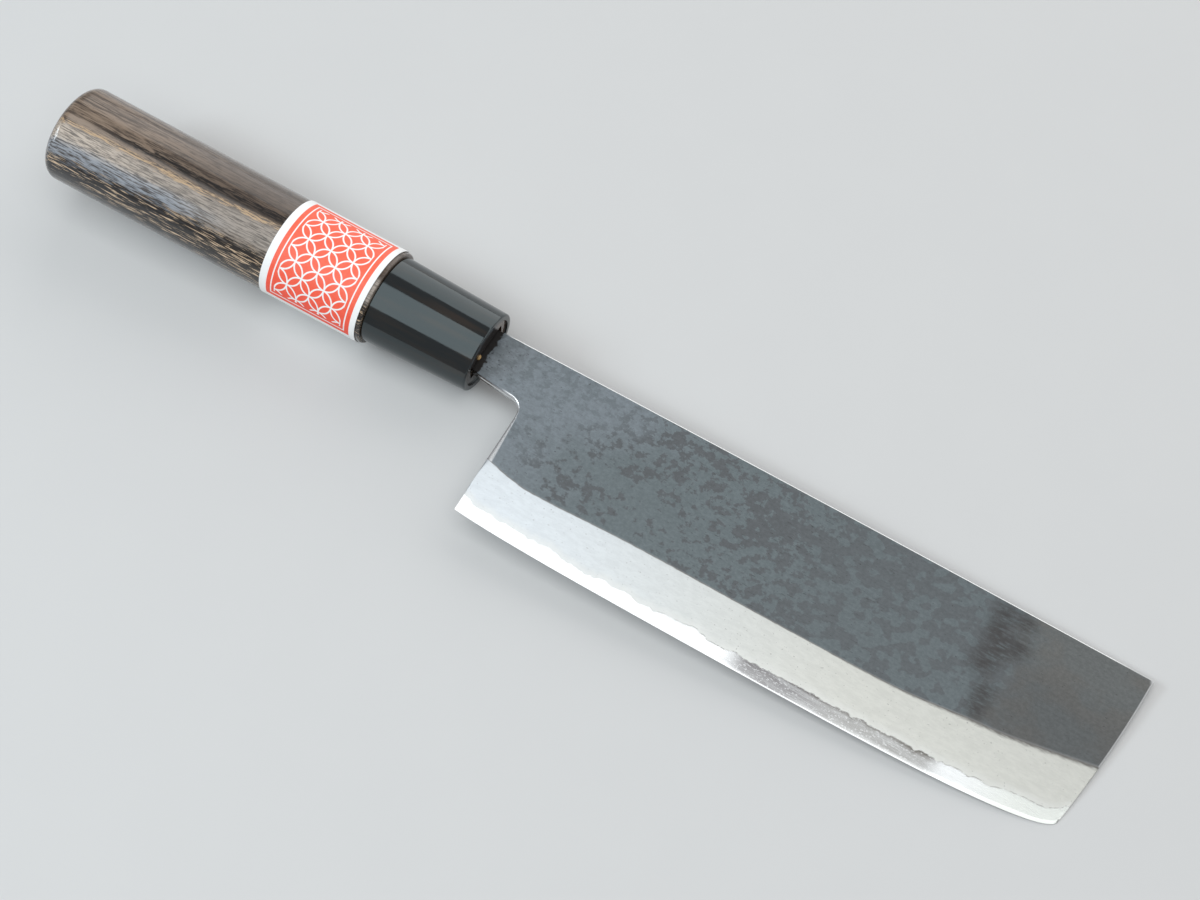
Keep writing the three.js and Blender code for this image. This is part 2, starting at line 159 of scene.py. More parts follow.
# %% Outline of the blade
NECK_LENGTH = 15.8
NECK_FLARE = 1.2
CHOIL_ROUND = 4.8
BLADE_LENGTH = 165.0
HEEL_HEIGHT = 48.4
BELLY_HEIGHT = 49.8
BELLY_AT = 71.0
HEEL_EASE = (0.2, 0.6)
TIP_EASE = (0.42, 1.0)
TIP_HEIGHT = 43.4
TIP_LEAD = 5.3
TIP_BOW = 0.9
SPINE_CROWN = 0.4
HANDLE_LENGTH = 133.2
SOLID_BUTT = 42.0
TANG_END_HEIGHT = 6.0

heel_x = NECK_LENGTH
low_tip_x = heel_x + BLADE_LENGTH
tip_x = low_tip_x + TIP_LEAD
axis_y = -NECK_HEIGHT / 2
tang_end_x = SOLID_BUTT - HANDLE_LENGTH
choil_y = -NECK_HEIGHT - NECK_FLARE - CHOIL_ROUND


def bezier(*corners, steps=80):
    """Points of the curve that a few control corners pull into shape."""
    share = np.linspace(0, 1, steps)[:, None]
    n = len(corners) - 1
    weights = [math.comb(n, i) * (1 - share) ** (n - i) * share**i for i in range(n + 1)]
    return sum(weight * np.array(corner, float) for weight, corner in zip(weights, corners))


belly_x = heel_x + BELLY_AT
front_run = low_tip_x - belly_x
edge = np.vstack([
    bezier(
        (heel_x, -HEEL_HEIGHT),
        (heel_x + BELLY_AT * HEEL_EASE[0], -BELLY_HEIGHT),
        (heel_x + BELLY_AT * HEEL_EASE[1], -BELLY_HEIGHT),
        (belly_x, -BELLY_HEIGHT),
    ),
    bezier(
        (belly_x, -BELLY_HEIGHT),
        (belly_x + front_run * TIP_EASE[0], -BELLY_HEIGHT),
        (belly_x + front_run * TIP_EASE[1], -BELLY_HEIGHT),
        (low_tip_x, -TIP_HEIGHT),
    ),
])


def edge_y(x):
    """The cutting edge."""
    return np.interp(x, edge[:, 0], edge[:, 1])


def spine_y(x):
    """The spine, slightly crowned, and the upper side of the tang behind it."""
    share = np.clip(x / tip_x, 0, 1)
    tang_fall = (NECK_HEIGHT - TANG_END_HEIGHT) / 2 * np.minimum(x, 0) / -tang_end_x
    return 4 * SPINE_CROWN * share * (1 - share) + tang_fall


def front_x(y):
    """The bowed front of the blade, as x at a height."""
    share = np.clip(-y / TIP_HEIGHT, 0, 1)
    return tip_x - TIP_LEAD * share + 4 * TIP_BOW * share * (1 - share)


print("Edge is deepest at x =", edge[edge[:, 1].argmin(), 0].round(1), "mm")

# %% [markdown]
# The grinding line is the one line with no simple rule: it is where a stone happened to stop. A
# smooth curve through nine marks follows it. The underside of the neck continues over the blade
# as an unseen helper row, so that neck and blade can share one grid of faces later on.

# %% Grinding line and underside of the neck
# Share of the way from heel to tip, and depth below the spine.
GRIND_MARKS = (
    (0, 32.6), (0.05, 34.5), (0.1, 35.1), (0.26, 34.2), (0.5, 34.1),
    (0.68, 33.6), (0.79, 31.7), (0.86, 30.5), (1, 26.2),
)


def smooth_through(marks, steps=24):
    """A Catmull-Rom curve through marks."""
    marks = np.array(marks, float)
    share = np.linspace(0, 1, steps, endpoint=False)[:, None]
    held = np.vstack([marks[:1], marks, marks[-1:]])
    spans = []
    for a, b, c, d in zip(held, held[1:], held[2:], held[3:]):
        bend = 2 * a - 5 * b + 4 * c - d + share * (3 * b - a - 3 * c + d)
        spans.append(b + share / 2 * (c - a + share * bend))
    return np.vstack(spans + [marks[-1:]])


grind = smooth_through([(heel_x + (tip_x - heel_x) * share, -depth) for share, depth in GRIND_MARKS])
neck_corner = bezier(
    (heel_x - CHOIL_ROUND, -NECK_HEIGHT - NECK_FLARE),
    (heel_x, -NECK_HEIGHT - NECK_FLARE),
    (heel_x, choil_y),
    steps=14,
)
tang_bottom = (tang_end_x, axis_y - TANG_END_HEIGHT / 2)
neck_under = np.vstack([tang_bottom, (0, -NECK_HEIGHT), neck_corner])


def grind_y(x):
    """The grinding line."""
    return np.interp(x, grind[:, 0], grind[:, 1])


def neck_y(x):
    """Underside of tang and neck, then a helper row that fans out over the blade."""
    on_blade = choil_y * grind_y(x) / grind_y(heel_x)
    return np.where(x > heel_x, on_blade, np.interp(x, neck_under[:, 0], neck_under[:, 1]))


print("Grinding line runs from", grind_y(heel_x).round(1), "to", grind_y(tip_x).round(1), "mm")

# %% [markdown]
# ## Three layers, one wedge
# The blade is forged from three layers: hard steel in the middle and soft iron on both sides.
# Each flat is a plane that thins towards the tip and the edge. Below the grinding line both sides
# are ground to a wedge, and where the wedge gets thinner than the middle layer, the hard steel
# comes out. That weld line is never straight, because hammering moves it about. Blender's
# noise function, read at a few wavelengths, makes such a line, and gives the same one every run.

# %% Thickness of the layers
SPINE_AT_HEEL = 3.2
SPINE_AT_TIP = 1.9
GRIND_AT_HEEL = 2.4
CORE_AT_HEEL = 0.75
CORE_AT_TIP = 0.5
WELD_GAP = 0.02
SMALL_BEVEL_HEIGHT = 0.7
SMALL_BEVEL_THICK = 0.32
EDGE_THICK = 0.1
WELD_STEP = 0.25
# Length and rise of each wave.
WELD_WAVES = ((34, 0.45), (9.5, 0.6), (3.4, 0.7), (1.4, 0.5))
WAVES_APART = 7.3

taper_along = (SPINE_AT_HEEL - SPINE_AT_TIP) / 2 / (tip_x - heel_x)
taper_down = (SPINE_AT_HEEL - GRIND_AT_HEEL) / 2 / -grind_y(heel_x)


def flat_half(x, y):
    """Half the blade's thickness on the flats."""
    return SPINE_AT_HEEL / 2 - taper_along * (x - heel_x) + taper_down * y


def bevel_y(x):
    """Top of the small bevel along the edge."""
    return edge_y(x) + SMALL_BEVEL_HEIGHT


def ground_half(x, y):
    """Half the blade's thickness on the ground faces, a straight wedge."""
    top_half = flat_half(x, grind_y(x))
    share = (y - bevel_y(x)) / (grind_y(x) - bevel_y(x))
    return SMALL_BEVEL_THICK / 2 + share * (top_half - SMALL_BEVEL_THICK / 2)


def waves(places, lengths_and_rises):
    """Smooth noise along a line, summed over a few wavelengths."""
    total = np.zeros(len(places))
    for row, (length, rise) in enumerate(lengths_and_rises):
        total += [rise * noise.noise(Vector((x / length, WAVES_APART * row, 0))) for x in places]
    return total


weld_x = np.arange(heel_x - 1, tip_x + 1, WELD_STEP)
even_core = np.interp(weld_x, (heel_x, tip_x), (CORE_AT_HEEL / 2, CORE_AT_TIP / 2))
wedge_rise = ground_half(weld_x, bevel_y(weld_x) + 1) - SMALL_BEVEL_THICK / 2
weld_line = bevel_y(weld_x) + (even_core - SMALL_BEVEL_THICK / 2) / wedge_rise
weld_line += waves(weld_x, WELD_WAVES)


def weld_y(x):
    """The weld line, where the hard steel comes out of the ground face."""
    return np.interp(x, weld_x, weld_line)


def core_half(x):
    """Half the thickness of the hard steel, as the weld line shows it."""
    return np.where(x > heel_x, ground_half(x, weld_y(x)), CORE_AT_HEEL / 2)


strip = weld_y(weld_x) - edge_y(weld_x)
print("Bare steel along the edge is", strip.min().round(1), "to", strip.max().round(1), "mm wide")

# %% [markdown]
# ## One grid for all layers
# A side of the blade could be cut out of a fine plane, but its rim would be ragged. Here rows of
# points run along the blade, from the spine to the edge, and the columns follow the heel and the
# front, so every line of the knife lies on edges of the mesh. Rows and columns crowd near the
# arrises, where the surface turns over, and over the polished facet down the heel. The neck takes
# only the upper rows, so the grid is L-shaped. The front is bowed, so where a row ends depends on
# its height there, and the height on where it ends: a few rounds settle both.

# %% Rows and columns
ARRIS_ROUND = 0.35
TANG_SHOULDER = 2.4
TANG_RELIEF = 0.08
TANG_END_THICK = 2.0
ARRIS_SHARES = np.array([0, 0.1, 0.28, 0.55])
HEEL_FACET = (0.5, 1.4)
COLUMN_STEP = 0.45
TANG_COLUMNS = 24
SHOULDER_COLUMNS = 7
NECK_COLUMNS = 12
BEHIND_MOUTH = 1.0
FRONT_ROUNDS = 8


def crowded(length, step, facet=ARRIS_ROUND):
    """Shares from 0 to 1 with extra steps over the arris at both ends and a facet at the start."""
    near = ARRIS_ROUND * ARRIS_SHARES
    fine = np.arange(ARRIS_ROUND, facet, ARRIS_ROUND / 2)
    even = np.linspace(facet, length - ARRIS_ROUND, round(length / step))
    return np.concatenate([near, fine, even, length - near[::-1]]) / length


def rows_between(upper, lower, shares):
    """Rows between two lines of the blade, each a height at a place x."""
    return [lambda x, s=share: upper(x) * (1 - s) + lower(x) * s for share in shares]


def even_shares(count):
    """Shares of rows that follow a line, down to 1 in even steps."""
    return np.linspace(0, 1, count + 1)[1:]


neck_x = np.concatenate([
    np.linspace(tang_end_x, -BEHIND_MOUTH, TANG_COLUMNS),
    np.linspace(0, TANG_SHOULDER, SHOULDER_COLUMNS)[:-1],
    np.linspace(TANG_SHOULDER, heel_x - CHOIL_ROUND, NECK_COLUMNS)[:-1],
    neck_corner[:-1, 0],
])
blade_shares = crowded(tip_x - heel_x, COLUMN_STEP, HEEL_FACET[1])
heel_column = len(neck_x)


def side_grid(neck_rows, blade_rows):
    """Places x, y of all grid points and their numbers, with none where the grid has no point."""
    rows = neck_rows + blade_rows
    x = np.full((heel_column + len(blade_shares), len(rows)), np.nan)
    x[:heel_column, : len(neck_rows)] = neck_x[:, None]
    y = x.copy()
    for k, line in enumerate(rows):
        place = heel_x + (tip_x - heel_x) * blade_shares
        for _ in range(FRONT_ROUNDS):
            place = heel_x + (front_x(line(place)) - heel_x) * blade_shares
        x[heel_column:, k] = place
        y[:, k] = line(x[:, k])
    number = np.where(np.isnan(x), -1, np.cumsum(~np.isnan(x)).reshape(x.shape) - 1)
    return x, y, number


print(len(blade_shares), "columns on the blade and", heel_column, "on neck and tang")

# %% [markdown]
# A closed mesh needs two sides and a wall round the rim. The wall goes wherever an edge of the
# sheet has a face on one side only, so the same helper closes a blade layer and, later, a band of
# paper. A real arris is never sharp: near the rim the surface drops by a quarter circle, measured
# by the distance to the outline. The heel was taken down more than the rest, into a facet that
# widens towards the ground face. There the distance is shortened, which stretches the rounding.

# %% Helpers that close a sheet and round its arris
def quads_of(number):
    """Quads of a grid of point numbers, and the row that each one starts in."""
    corners = np.stack([number[:-1, :-1], number[:-1, 1:], number[1:, 1:], number[1:, :-1]], axis=-1)
    row = np.broadcast_to(np.arange(number.shape[1] - 1), corners.shape[:2])
    whole = (corners >= 0).all(axis=-1)
    return [tuple(quad) for quad in corners[whole].tolist()], row[whole]


def closed_sheet(quads, count):
    """Faces of a sheet with its second side, numbered from count on, and a wall round its rim."""
    edges = {(a, b) for quad in quads for a, b in zip(quad, quad[1:] + quad[:1])}
    rim = sorted((a, b) for a, b in edges if (b, a) not in edges)
    second = [tuple(corner + count for corner in reversed(quad)) for quad in quads]
    return quads + second + [(a, a + count, b + count, b) for a, b in rim]


def distance_to(x, y, line):
    """Distance of points to a line of points."""
    nearest = np.full(x.shape, np.inf)
    for (ax, ay), (bx, by) in zip(line, line[1:]):
        length = max(math.hypot(bx - ax, by - ay), 1e-9)
        share = np.clip(((x - ax) * (bx - ax) + (y - ay) * (by - ay)) / length**2, 0, 1)
        gap = np.hypot(x - ax - share * (bx - ax), y - ay - share * (by - ay))
        nearest = np.minimum(nearest, gap)
    return nearest


def arris_distance(x, y, last_neck_row):
    """Distance to the outline of the flats: spine, front, underside of the neck and faceted heel."""
    under = last_neck_row
    rims = (
        (x[:, 0], y[:, 0]),
        (x[-1], y[-1]),
        (x[: heel_column + 1, under], y[: heel_column + 1, under]),
        (x[heel_column, under:], y[heel_column, under:]),
    )
    gaps = [distance_to(x, y, list(zip(*rim))) for rim in rims]
    gaps[-1] *= ARRIS_ROUND / np.interp(y, (grind_y(heel_x), choil_y), HEEL_FACET[::-1])
    return np.min(gaps, axis=0)


print("A sheet of one quad closes to", len(closed_sheet([(0, 1, 2, 3)], 4)), "faces")

# %% [markdown]
# ## The iron layers
# The right layer is drawn and the left one is its mirror image. The flat keeps the slight waves of
# the hammer, a few hundredths of a millimetre deep: too little to feel, but enough to keep the
# reflections from looking like plastic. The faces carry three finishes: scale on the flat, satin
# grinding below the line, and bare filed metal on the spine, front, heel and neck.

# %% Draw the iron layers
ROW_STEP = 0.8
FLAT_ROWS = 18
SATIN_ROWS = 16
FORGED_WAVE = 0.025
FORGED_LENGTH = 11.0
FORGED_FADE = 3.0
BLADE_SHARP = math.radians(25)
SCALE, SATIN, FILED = range(3)

neck_rows = rows_between(spine_y, neck_y, crowded(-choil_y, ROW_STEP))
flat_rows = rows_between(neck_y, grind_y, even_shares(FLAT_ROWS))
iron_rows = rows_between(grind_y, weld_y, even_shares(SATIN_ROWS))
grind_row = len(neck_rows) + len(flat_rows) - 1
x, y, number = side_grid(neck_rows, flat_rows + iron_rows)
quads, row_of = quads_of(number)
rim_gap = arris_distance(x, y, len(neck_rows) - 1)

used = number >= 0
x, y, rim_gap = x[used], y[used], rim_gap[used]
from_grind = y - grind_y(x)
forged = [noise.noise(Vector((a, b, 0)) / FORGED_LENGTH) for a, b in zip(x, y)]
forged = FORGED_WAVE * np.array(forged) * np.clip(from_grind / FORGED_FADE, 0, 1)
arris_in = ARRIS_ROUND - np.minimum(rim_gap, ARRIS_ROUND)
arris_drop = ARRIS_ROUND - np.sqrt(ARRIS_ROUND**2 - arris_in**2)
tang_half = np.interp(
    x, (tang_end_x, 0), (TANG_END_THICK / 2, flat_half(0, -NECK_HEIGHT) - TANG_RELIEF)
)
out_of_mouth = np.clip(x / TANG_SHOULDER, 0, 1)
blade_share = out_of_mouth**2 * (3 - 2 * out_of_mouth)
flat = tang_half + (flat_half(x, y) + forged - tang_half) * blade_share - arris_drop
ground = np.where(x > heel_x, ground_half(x, y), np.inf)
outer_z = np.minimum(flat, ground)
inner_z = np.minimum(core_half(x) + WELD_GAP, outer_z - WELD_GAP / 4)

count = len(x)
iron_faces = closed_sheet(quads, count)
finish_of = np.full(len(iron_faces), FILED)
finish_of[: len(quads)] = np.where(row_of >= grind_row, SATIN, SCALE)
finish_of[len(quads) : 2 * len(quads)] = SCALE


def iron_layer(name, node, side):
    """One iron layer. Side is 1 for the right and -1 for the left."""
    sheet = [np.column_stack([x, y, side * z]) for z in (outer_z, inner_z)]
    faces = [face[::side] for face in iron_faces]
    piece = new_piece(name, np.vstack(sheet), faces, node, "scaled_iron")
    piece.data.polygons.foreach_set("material_index", finish_of)
    note_on(piece, "from_grind", np.tile(from_grind, 2))
    note_on(piece, "from_weld", np.tile(y - weld_y(x), 2))
    note_on(piece, "from_rim", np.tile(rim_gap, 2))
    piece.data.set_sharp_from_angle(angle=BLADE_SHARP)
    return piece


right_iron = iron_layer("right_iron", "right_iron_layer", 1)
left_iron = iron_layer("left_iron", "left_iron_layer", -1)

# %% [markdown]
# ## The hard core
# The core shares the columns of the iron layers, so its weld line meets theirs point for point.
# Above the weld it lies hidden between them and needs few rows. Below it is ground like the iron,
# and ends in the small honed bevel of the cutting edge.

# %% Draw the core
CORE_NECK_ROWS = 5
HIDDEN_ROWS = 6
BARE_ROWS = 10
BEVEL_ROWS = 3

core_rows = (
    rows_between(neck_y, weld_y, even_shares(HIDDEN_ROWS))
    + rows_between(weld_y, bevel_y, even_shares(BARE_ROWS))
    + rows_between(bevel_y, edge_y, even_shares(BEVEL_ROWS))
)
core_neck_rows = [spine_y] + rows_between(spine_y, neck_y, even_shares(CORE_NECK_ROWS))
core_x, core_y, number = side_grid(core_neck_rows, core_rows)
quads = quads_of(number)[0]
used = number >= 0
core_x, core_y = core_x[used], core_y[used]
above_edge = core_y - edge_y(core_x)
honed = EDGE_THICK / 2 + above_edge / SMALL_BEVEL_HEIGHT * (SMALL_BEVEL_THICK - EDGE_THICK) / 2
ground = np.where(core_y < bevel_y(core_x), honed, ground_half(core_x, core_y))
on_blade = (core_x > heel_x) | (core_y < choil_y)
half = np.where(on_blade, np.minimum(core_half(core_x), ground), CORE_AT_HEEL / 2)
sheet = [np.column_stack([core_x, core_y, z]) for z in (half, -half)]
core_faces = closed_sheet(quads, len(core_x))
core = new_piece("hard_core", np.vstack(sheet), core_faces, "core_layer", "hard_steel")
note_on(core, "from_edge", np.tile(above_edge, 2))
note_on(core, "below_weld", np.tile(weld_y(core_x) - core_y, 2))
core.data.set_sharp_from_angle(angle=BLADE_SHARP)

# %% [markdown]
# ## The wooden handle
# The handle is an oval stick with a domed butt. Its front is turned down to a tenon, and the slot
# for the tang is burnt into the end of the tenon. A cylinder with a boolean cut would do, but
# rings of points give control over every radius: they run from the butt along the wood, over the
# tenon, and turn back into the slot, where the oval becomes a rectangle with as many points.

# %% Rings of the handle
SIDES = 160
MOUTH_GAP = 1.0
CHEEK_HEIGHT = 2.2
CHEEK_THICK = 5.65
FERRULE_LENGTH = 30.8
FERRULE_WALL = 1.6
FERRULE_FLARE = 1.0
GLUE_GAP = 0.1
SHOULDER_STEP = 1.0
HANDLE_SWELL = 0.5

turns = np.linspace(0, 2 * math.pi, SIDES, endpoint=False)
mouth_half = flat_half(0, -NECK_HEIGHT) - TANG_RELIEF + MOUTH_GAP
tenon_front = np.array([NECK_HEIGHT / 2 + MOUTH_GAP + CHEEK_HEIGHT, mouth_half + CHEEK_THICK])
shoulder_x = -FERRULE_LENGTH - GLUE_GAP
butt_x = -HANDLE_LENGTH


def oval(x, half_sizes):
    """An oval ring round the axis of the handle, from its half height and half thickness."""
    height, thick = half_sizes
    y = axis_y + height * np.cos(turns)
    return np.column_stack([np.full(SIDES, x), y, thick * np.sin(turns)])


def slot_ring(x, half_sizes):
    """A rectangle with as many points as an oval."""
    stretch = 1 / np.maximum(abs(np.cos(turns)) / half_sizes[0], abs(np.sin(turns)) / half_sizes[1])
    return oval(x, (stretch, stretch))


def tenon(x):
    """Half sizes of the tenon, which widens towards the back as the ferrule does."""
    return tenon_front - FERRULE_FLARE * x / FERRULE_LENGTH


def wood(x):
    """Half sizes of the wood behind the ferrule."""
    swell = HANDLE_SWELL * (x - shoulder_x) / (butt_x - shoulder_x)
    return tenon(-FERRULE_LENGTH) + GLUE_GAP + FERRULE_WALL + SHOULDER_STEP + swell


def skin(rings, hoop=False):
    """Points and faces over rings: with flat ends, or closed on itself as a hoop."""
    number = np.arange(len(rings) * SIDES).reshape(-1, SIDES)
    if hoop:
        number = np.vstack([number, number[:1]])
    number = np.hstack([number, number[:, :1]])
    faces = quads_of(number)[0]
    if not hoop:
        faces += [tuple(number[0, :-1].tolist()), tuple(number[-1, -2::-1].tolist())]
    return np.vstack(rings), faces


print("Wood is", (2 * wood(butt_x)).round(1), "mm high and thick at the butt")

# %% [markdown]
# From the butt forward: a shallow dome, a round edge, the long body, and a small round shoulder
# before the step down to the tenon. Wood that was shaped by hand is not a perfect oval, so the
# body sinks and rises by a few hundredths of a millimetre, always inwards, where the paper band
# has room for it.

# %% Draw the handle
BUTT_ROUND = 3.0
BUTT_DOME = 2.0
BUTT_FLAT = 0.04
SHOULDER_ROUND = 0.4
TENON_RECESS = 0.5
MOUTH_DEPTH = 7.0
SLOT_GAP = 0.3
SLOT_END_ROOM = 1.0
DOME_RINGS = 8
DOME_SPAN = (0.08, 0.92)
QUARTER_RINGS = 12
BODY_RINGS = 150
HAND_SHAPED = 0.07
HAND_LENGTH = 14.0
TURNED_SHARP = math.radians(40)

quarter = np.linspace(0, math.pi / 2, QUARTER_RINGS)
round_x = butt_x + BUTT_DOME + BUTT_ROUND
butt_edge = wood(round_x) - BUTT_ROUND
mouth_sizes = np.array([NECK_HEIGHT / 2 + MOUTH_GAP, mouth_half])
slot_back = np.array([TANG_END_HEIGHT / 2, TANG_END_THICK / 2]) + SLOT_GAP
slot_front = mouth_sizes - MOUTH_GAP + SLOT_GAP
body_x = np.linspace(round_x, shoulder_x - SHOULDER_ROUND, BODY_RINGS)[1:-1]
dome_rise = BUTT_DOME - BUTT_FLAT

rings = [
    oval(butt_x + BUTT_FLAT + dome_rise * share**2, butt_edge * share)
    for share in np.linspace(*DOME_SPAN, DOME_RINGS)
]
rings += [
    oval(round_x - BUTT_ROUND * math.cos(turn), butt_edge + BUTT_ROUND * math.sin(turn))
    for turn in quarter
]
rings += [oval(x, wood(x)) for x in body_x]
rings += [
    oval(
        shoulder_x - SHOULDER_ROUND * (1 - math.sin(turn)),
        wood(shoulder_x) - SHOULDER_ROUND * (1 - math.cos(turn)),
    )
    for turn in quarter
]
for ring in rings:
    for point in ring:
        dent = HAND_SHAPED * (1 + noise.noise(Vector(point) / HAND_LENGTH)) / 2
        point[1:] += (axis_y - point[1], -point[2]) / np.hypot(point[1] - axis_y, point[2]) * dent
rings += [oval(x, tenon(x)) for x in (shoulder_x, -TENON_RECESS)]
rings += [slot_ring(x, mouth_sizes) for x in (-TENON_RECESS, -MOUTH_DEPTH)]
rings += [
    slot_ring(-MOUTH_DEPTH, slot_front + (slot_back - slot_front) * MOUTH_DEPTH / -tang_end_x),
    slot_ring(tang_end_x - SLOT_END_ROOM, slot_back),
]
handle = new_piece("oval_handle", *skin(rings), "wooden_handle", "burnt_wood")
handle.data.set_sharp_from_angle(angle=TURNED_SHARP)

# %% [markdown]
# ## The ferrule
# The dark ring keeps the wood from splitting where the tang is driven in. It is a tapered hoop
# with a rounded front edge and a crisp back edge. A hoop is a skin over rings whose last ring
# meets the first: up the outside, over the front and back through the inside.

# %% Draw the ferrule
FERRULE_RIM = 0.5
FERRULE_BACK_RIM = 0.25
FERRULE_RINGS = 30


def collar(x, proud):
    """A ring of the ferrule, proud of the tenon by some thickness."""
    return oval(x, tenon(x) + GLUE_GAP + proud)


rings = [
    collar(
        -FERRULE_LENGTH + FERRULE_BACK_RIM * (1 - math.cos(turn)),
        FERRULE_WALL - FERRULE_BACK_RIM * (1 - math.sin(turn)),
    )
    for turn in quarter
]
rings += [
    collar(x, FERRULE_WALL)
    for x in np.linspace(FERRULE_BACK_RIM - FERRULE_LENGTH, -FERRULE_RIM, FERRULE_RINGS)[1:-1]
]
rings += [
    collar(-FERRULE_RIM * (1 - math.sin(turn)), FERRULE_WALL - FERRULE_RIM * (1 - math.cos(turn)))
    for turn in quarter
]
rings += [collar(x, 0) for x in (0, -FERRULE_LENGTH)]
ferrule = new_piece("black_ferrule", *skin(rings, hoop=True), "ferrule", "dark_ring")
ferrule.data.set_sharp_from_angle(angle=TURNED_SHARP)

# %% [markdown]
# ## The paper band
# The band is one strip of paper, wound once round the wood and glued down, with its end lapped
# over its start on the underside. So it is drawn as a strip: a sheet of quads that follows the
# oval, climbs over its own start, and gets its thickness from the helper that closed the blade.
# Along with its place on the knife each point stores its place on the flat paper, in
# millimetres from the middle of the print. The print is drawn with that.

# %% Draw the paper band
BAND_WIDTH = 29.3
BAND_SETBACK = 1.2
BAND_PAPER = 0.17
BAND_LAP = 7.0
LAP_CLIMB = 0.35
LAP_GAP = 0.03
PRINT_MIDDLE = math.radians(107)
WRAP_STEPS = 220
ACROSS_STEPS = 36

band_front_x = shoulder_x - BAND_SETBACK
lap_turn = BAND_LAP / wood(band_front_x)[0]
wrap_start = 3 * math.pi / 2 - 2 * math.pi - lap_turn / 2
wrap = wrap_start + np.linspace(0, 2 * math.pi + lap_turn, WRAP_STEPS)
across_x = band_front_x - np.linspace(0, BAND_WIDTH, ACROSS_STEPS)
climb = np.clip((wrap - wrap_start - 2 * math.pi + LAP_CLIMB) / LAP_CLIMB, 0, 1)
lift = GLUE_GAP + (BAND_PAPER + LAP_GAP) * climb * climb * (3 - 2 * climb)


def strip_side(proud):
    """One side of the strip, as points row by row."""
    x, turn = np.meshgrid(across_x, wrap)
    height, thick = (wood(x.ravel()[:, None]) + (lift + proud).repeat(ACROSS_STEPS)[:, None]).T
    turn = turn.ravel()
    return np.column_stack([x.ravel(), axis_y + height * np.cos(turn), thick * np.sin(turn)])


outer = strip_side(BAND_PAPER)
inner = strip_side(0)
number = np.arange(len(outer)).reshape(WRAP_STEPS, ACROSS_STEPS)
faces = closed_sheet(quads_of(number)[0], len(outer))
band = new_piece("label_band", np.vstack([outer, inner]), faces, "paper_band", "printed_paper")
band.data.set_sharp_from_angle(angle=TURNED_SHARP)

middle_line = outer.reshape(WRAP_STEPS, ACROSS_STEPS, 3)[:, ACROSS_STEPS // 2]
stretches = np.linalg.norm(np.diff(middle_line, axis=0), axis=1)
round_mm = np.concatenate([[0], np.cumsum(stretches)])
round_mm -= np.interp(PRINT_MIDDLE, wrap, round_mm)
along_mm = across_x - across_x.mean()
note_on(band, "round_mm", np.tile(np.repeat(round_mm, ACROSS_STEPS), 2))
note_on(band, "along_mm", np.tile(along_mm, 2 * WRAP_STEPS))
print("Paper strip is", (round_mm[-1] - round_mm[0]).round(1), "mm long")

# %% [markdown]
# ## The resin in the mouth
# Resin seals the slot round the tang. It was poured, so its surface is uneven and creeps up the
# steel. It is a hoop again, this time of rectangles, with a few rings across its front. One drop
# ran over the rim of the slot and set there: a ball pressed flat.

# %% Draw the resin
RESIN_RECESS = 2.0
RESIN_UNEVEN = 0.45
RESIN_LENGTH = 1.7
RESIN_RINGS = 7
DROP_AT = (-0.5, -10.0, 2.6)
DROP_SIZES = (0.55, 0.8, 0.6)

tang_sizes = mouth_sizes - MOUTH_GAP
rings = [slot_ring(GLUE_GAP - MOUTH_DEPTH, mouth_sizes - GLUE_GAP)]
for share in np.linspace(0, 1, RESIN_RINGS):
    sizes = (mouth_sizes - GLUE_GAP) * (1 - share) + (tang_sizes + GLUE_GAP) * share
    ring = slot_ring(-RESIN_RECESS, sizes)
    sunk = [abs(noise.noise(Vector(point) / RESIN_LENGTH)) for point in ring]
    ring[:, 0] -= RESIN_UNEVEN * np.array(sunk)
    rings.append(ring)
rings.append(slot_ring(GLUE_GAP - MOUTH_DEPTH, tang_sizes + GLUE_GAP))
points, faces = skin(rings, hoop=True)

ball = bmesh.new()
bmesh.ops.create_icosphere(ball, subdivisions=3, radius=1)
drop = np.array([corner.co for corner in ball.verts]) * DROP_SIZES + DROP_AT
faces += [tuple(len(points) + corner.index for corner in face.verts) for face in ball.faces]
ball.free()
resin = new_piece("mouth_resin", np.vstack([points, drop]), faces, "tang_resin", "dark_resin")
resin.data.set_sharp_from_angle(angle=TURNED_SHARP)

# %% [markdown]
# ## A vocabulary for finishes
# Every finish below is a Principled shader fed by a few noises and masks. Written out node by
# node, each would fill a page and hide its idea. A small class gives the nodes short names: grain
# is noise with grains of a given size in millimetres, ease is a soft step between two values, near
# is a soft spot, mix lays one colour over another and shade darkens it. A noise eased from 0.4 to
# 0.6, say, becomes patches with soft borders. All of them read the drawn place stored on the mesh.

# %% Helper for finishes
SHADE = (0.6, 0.6, 0.6)


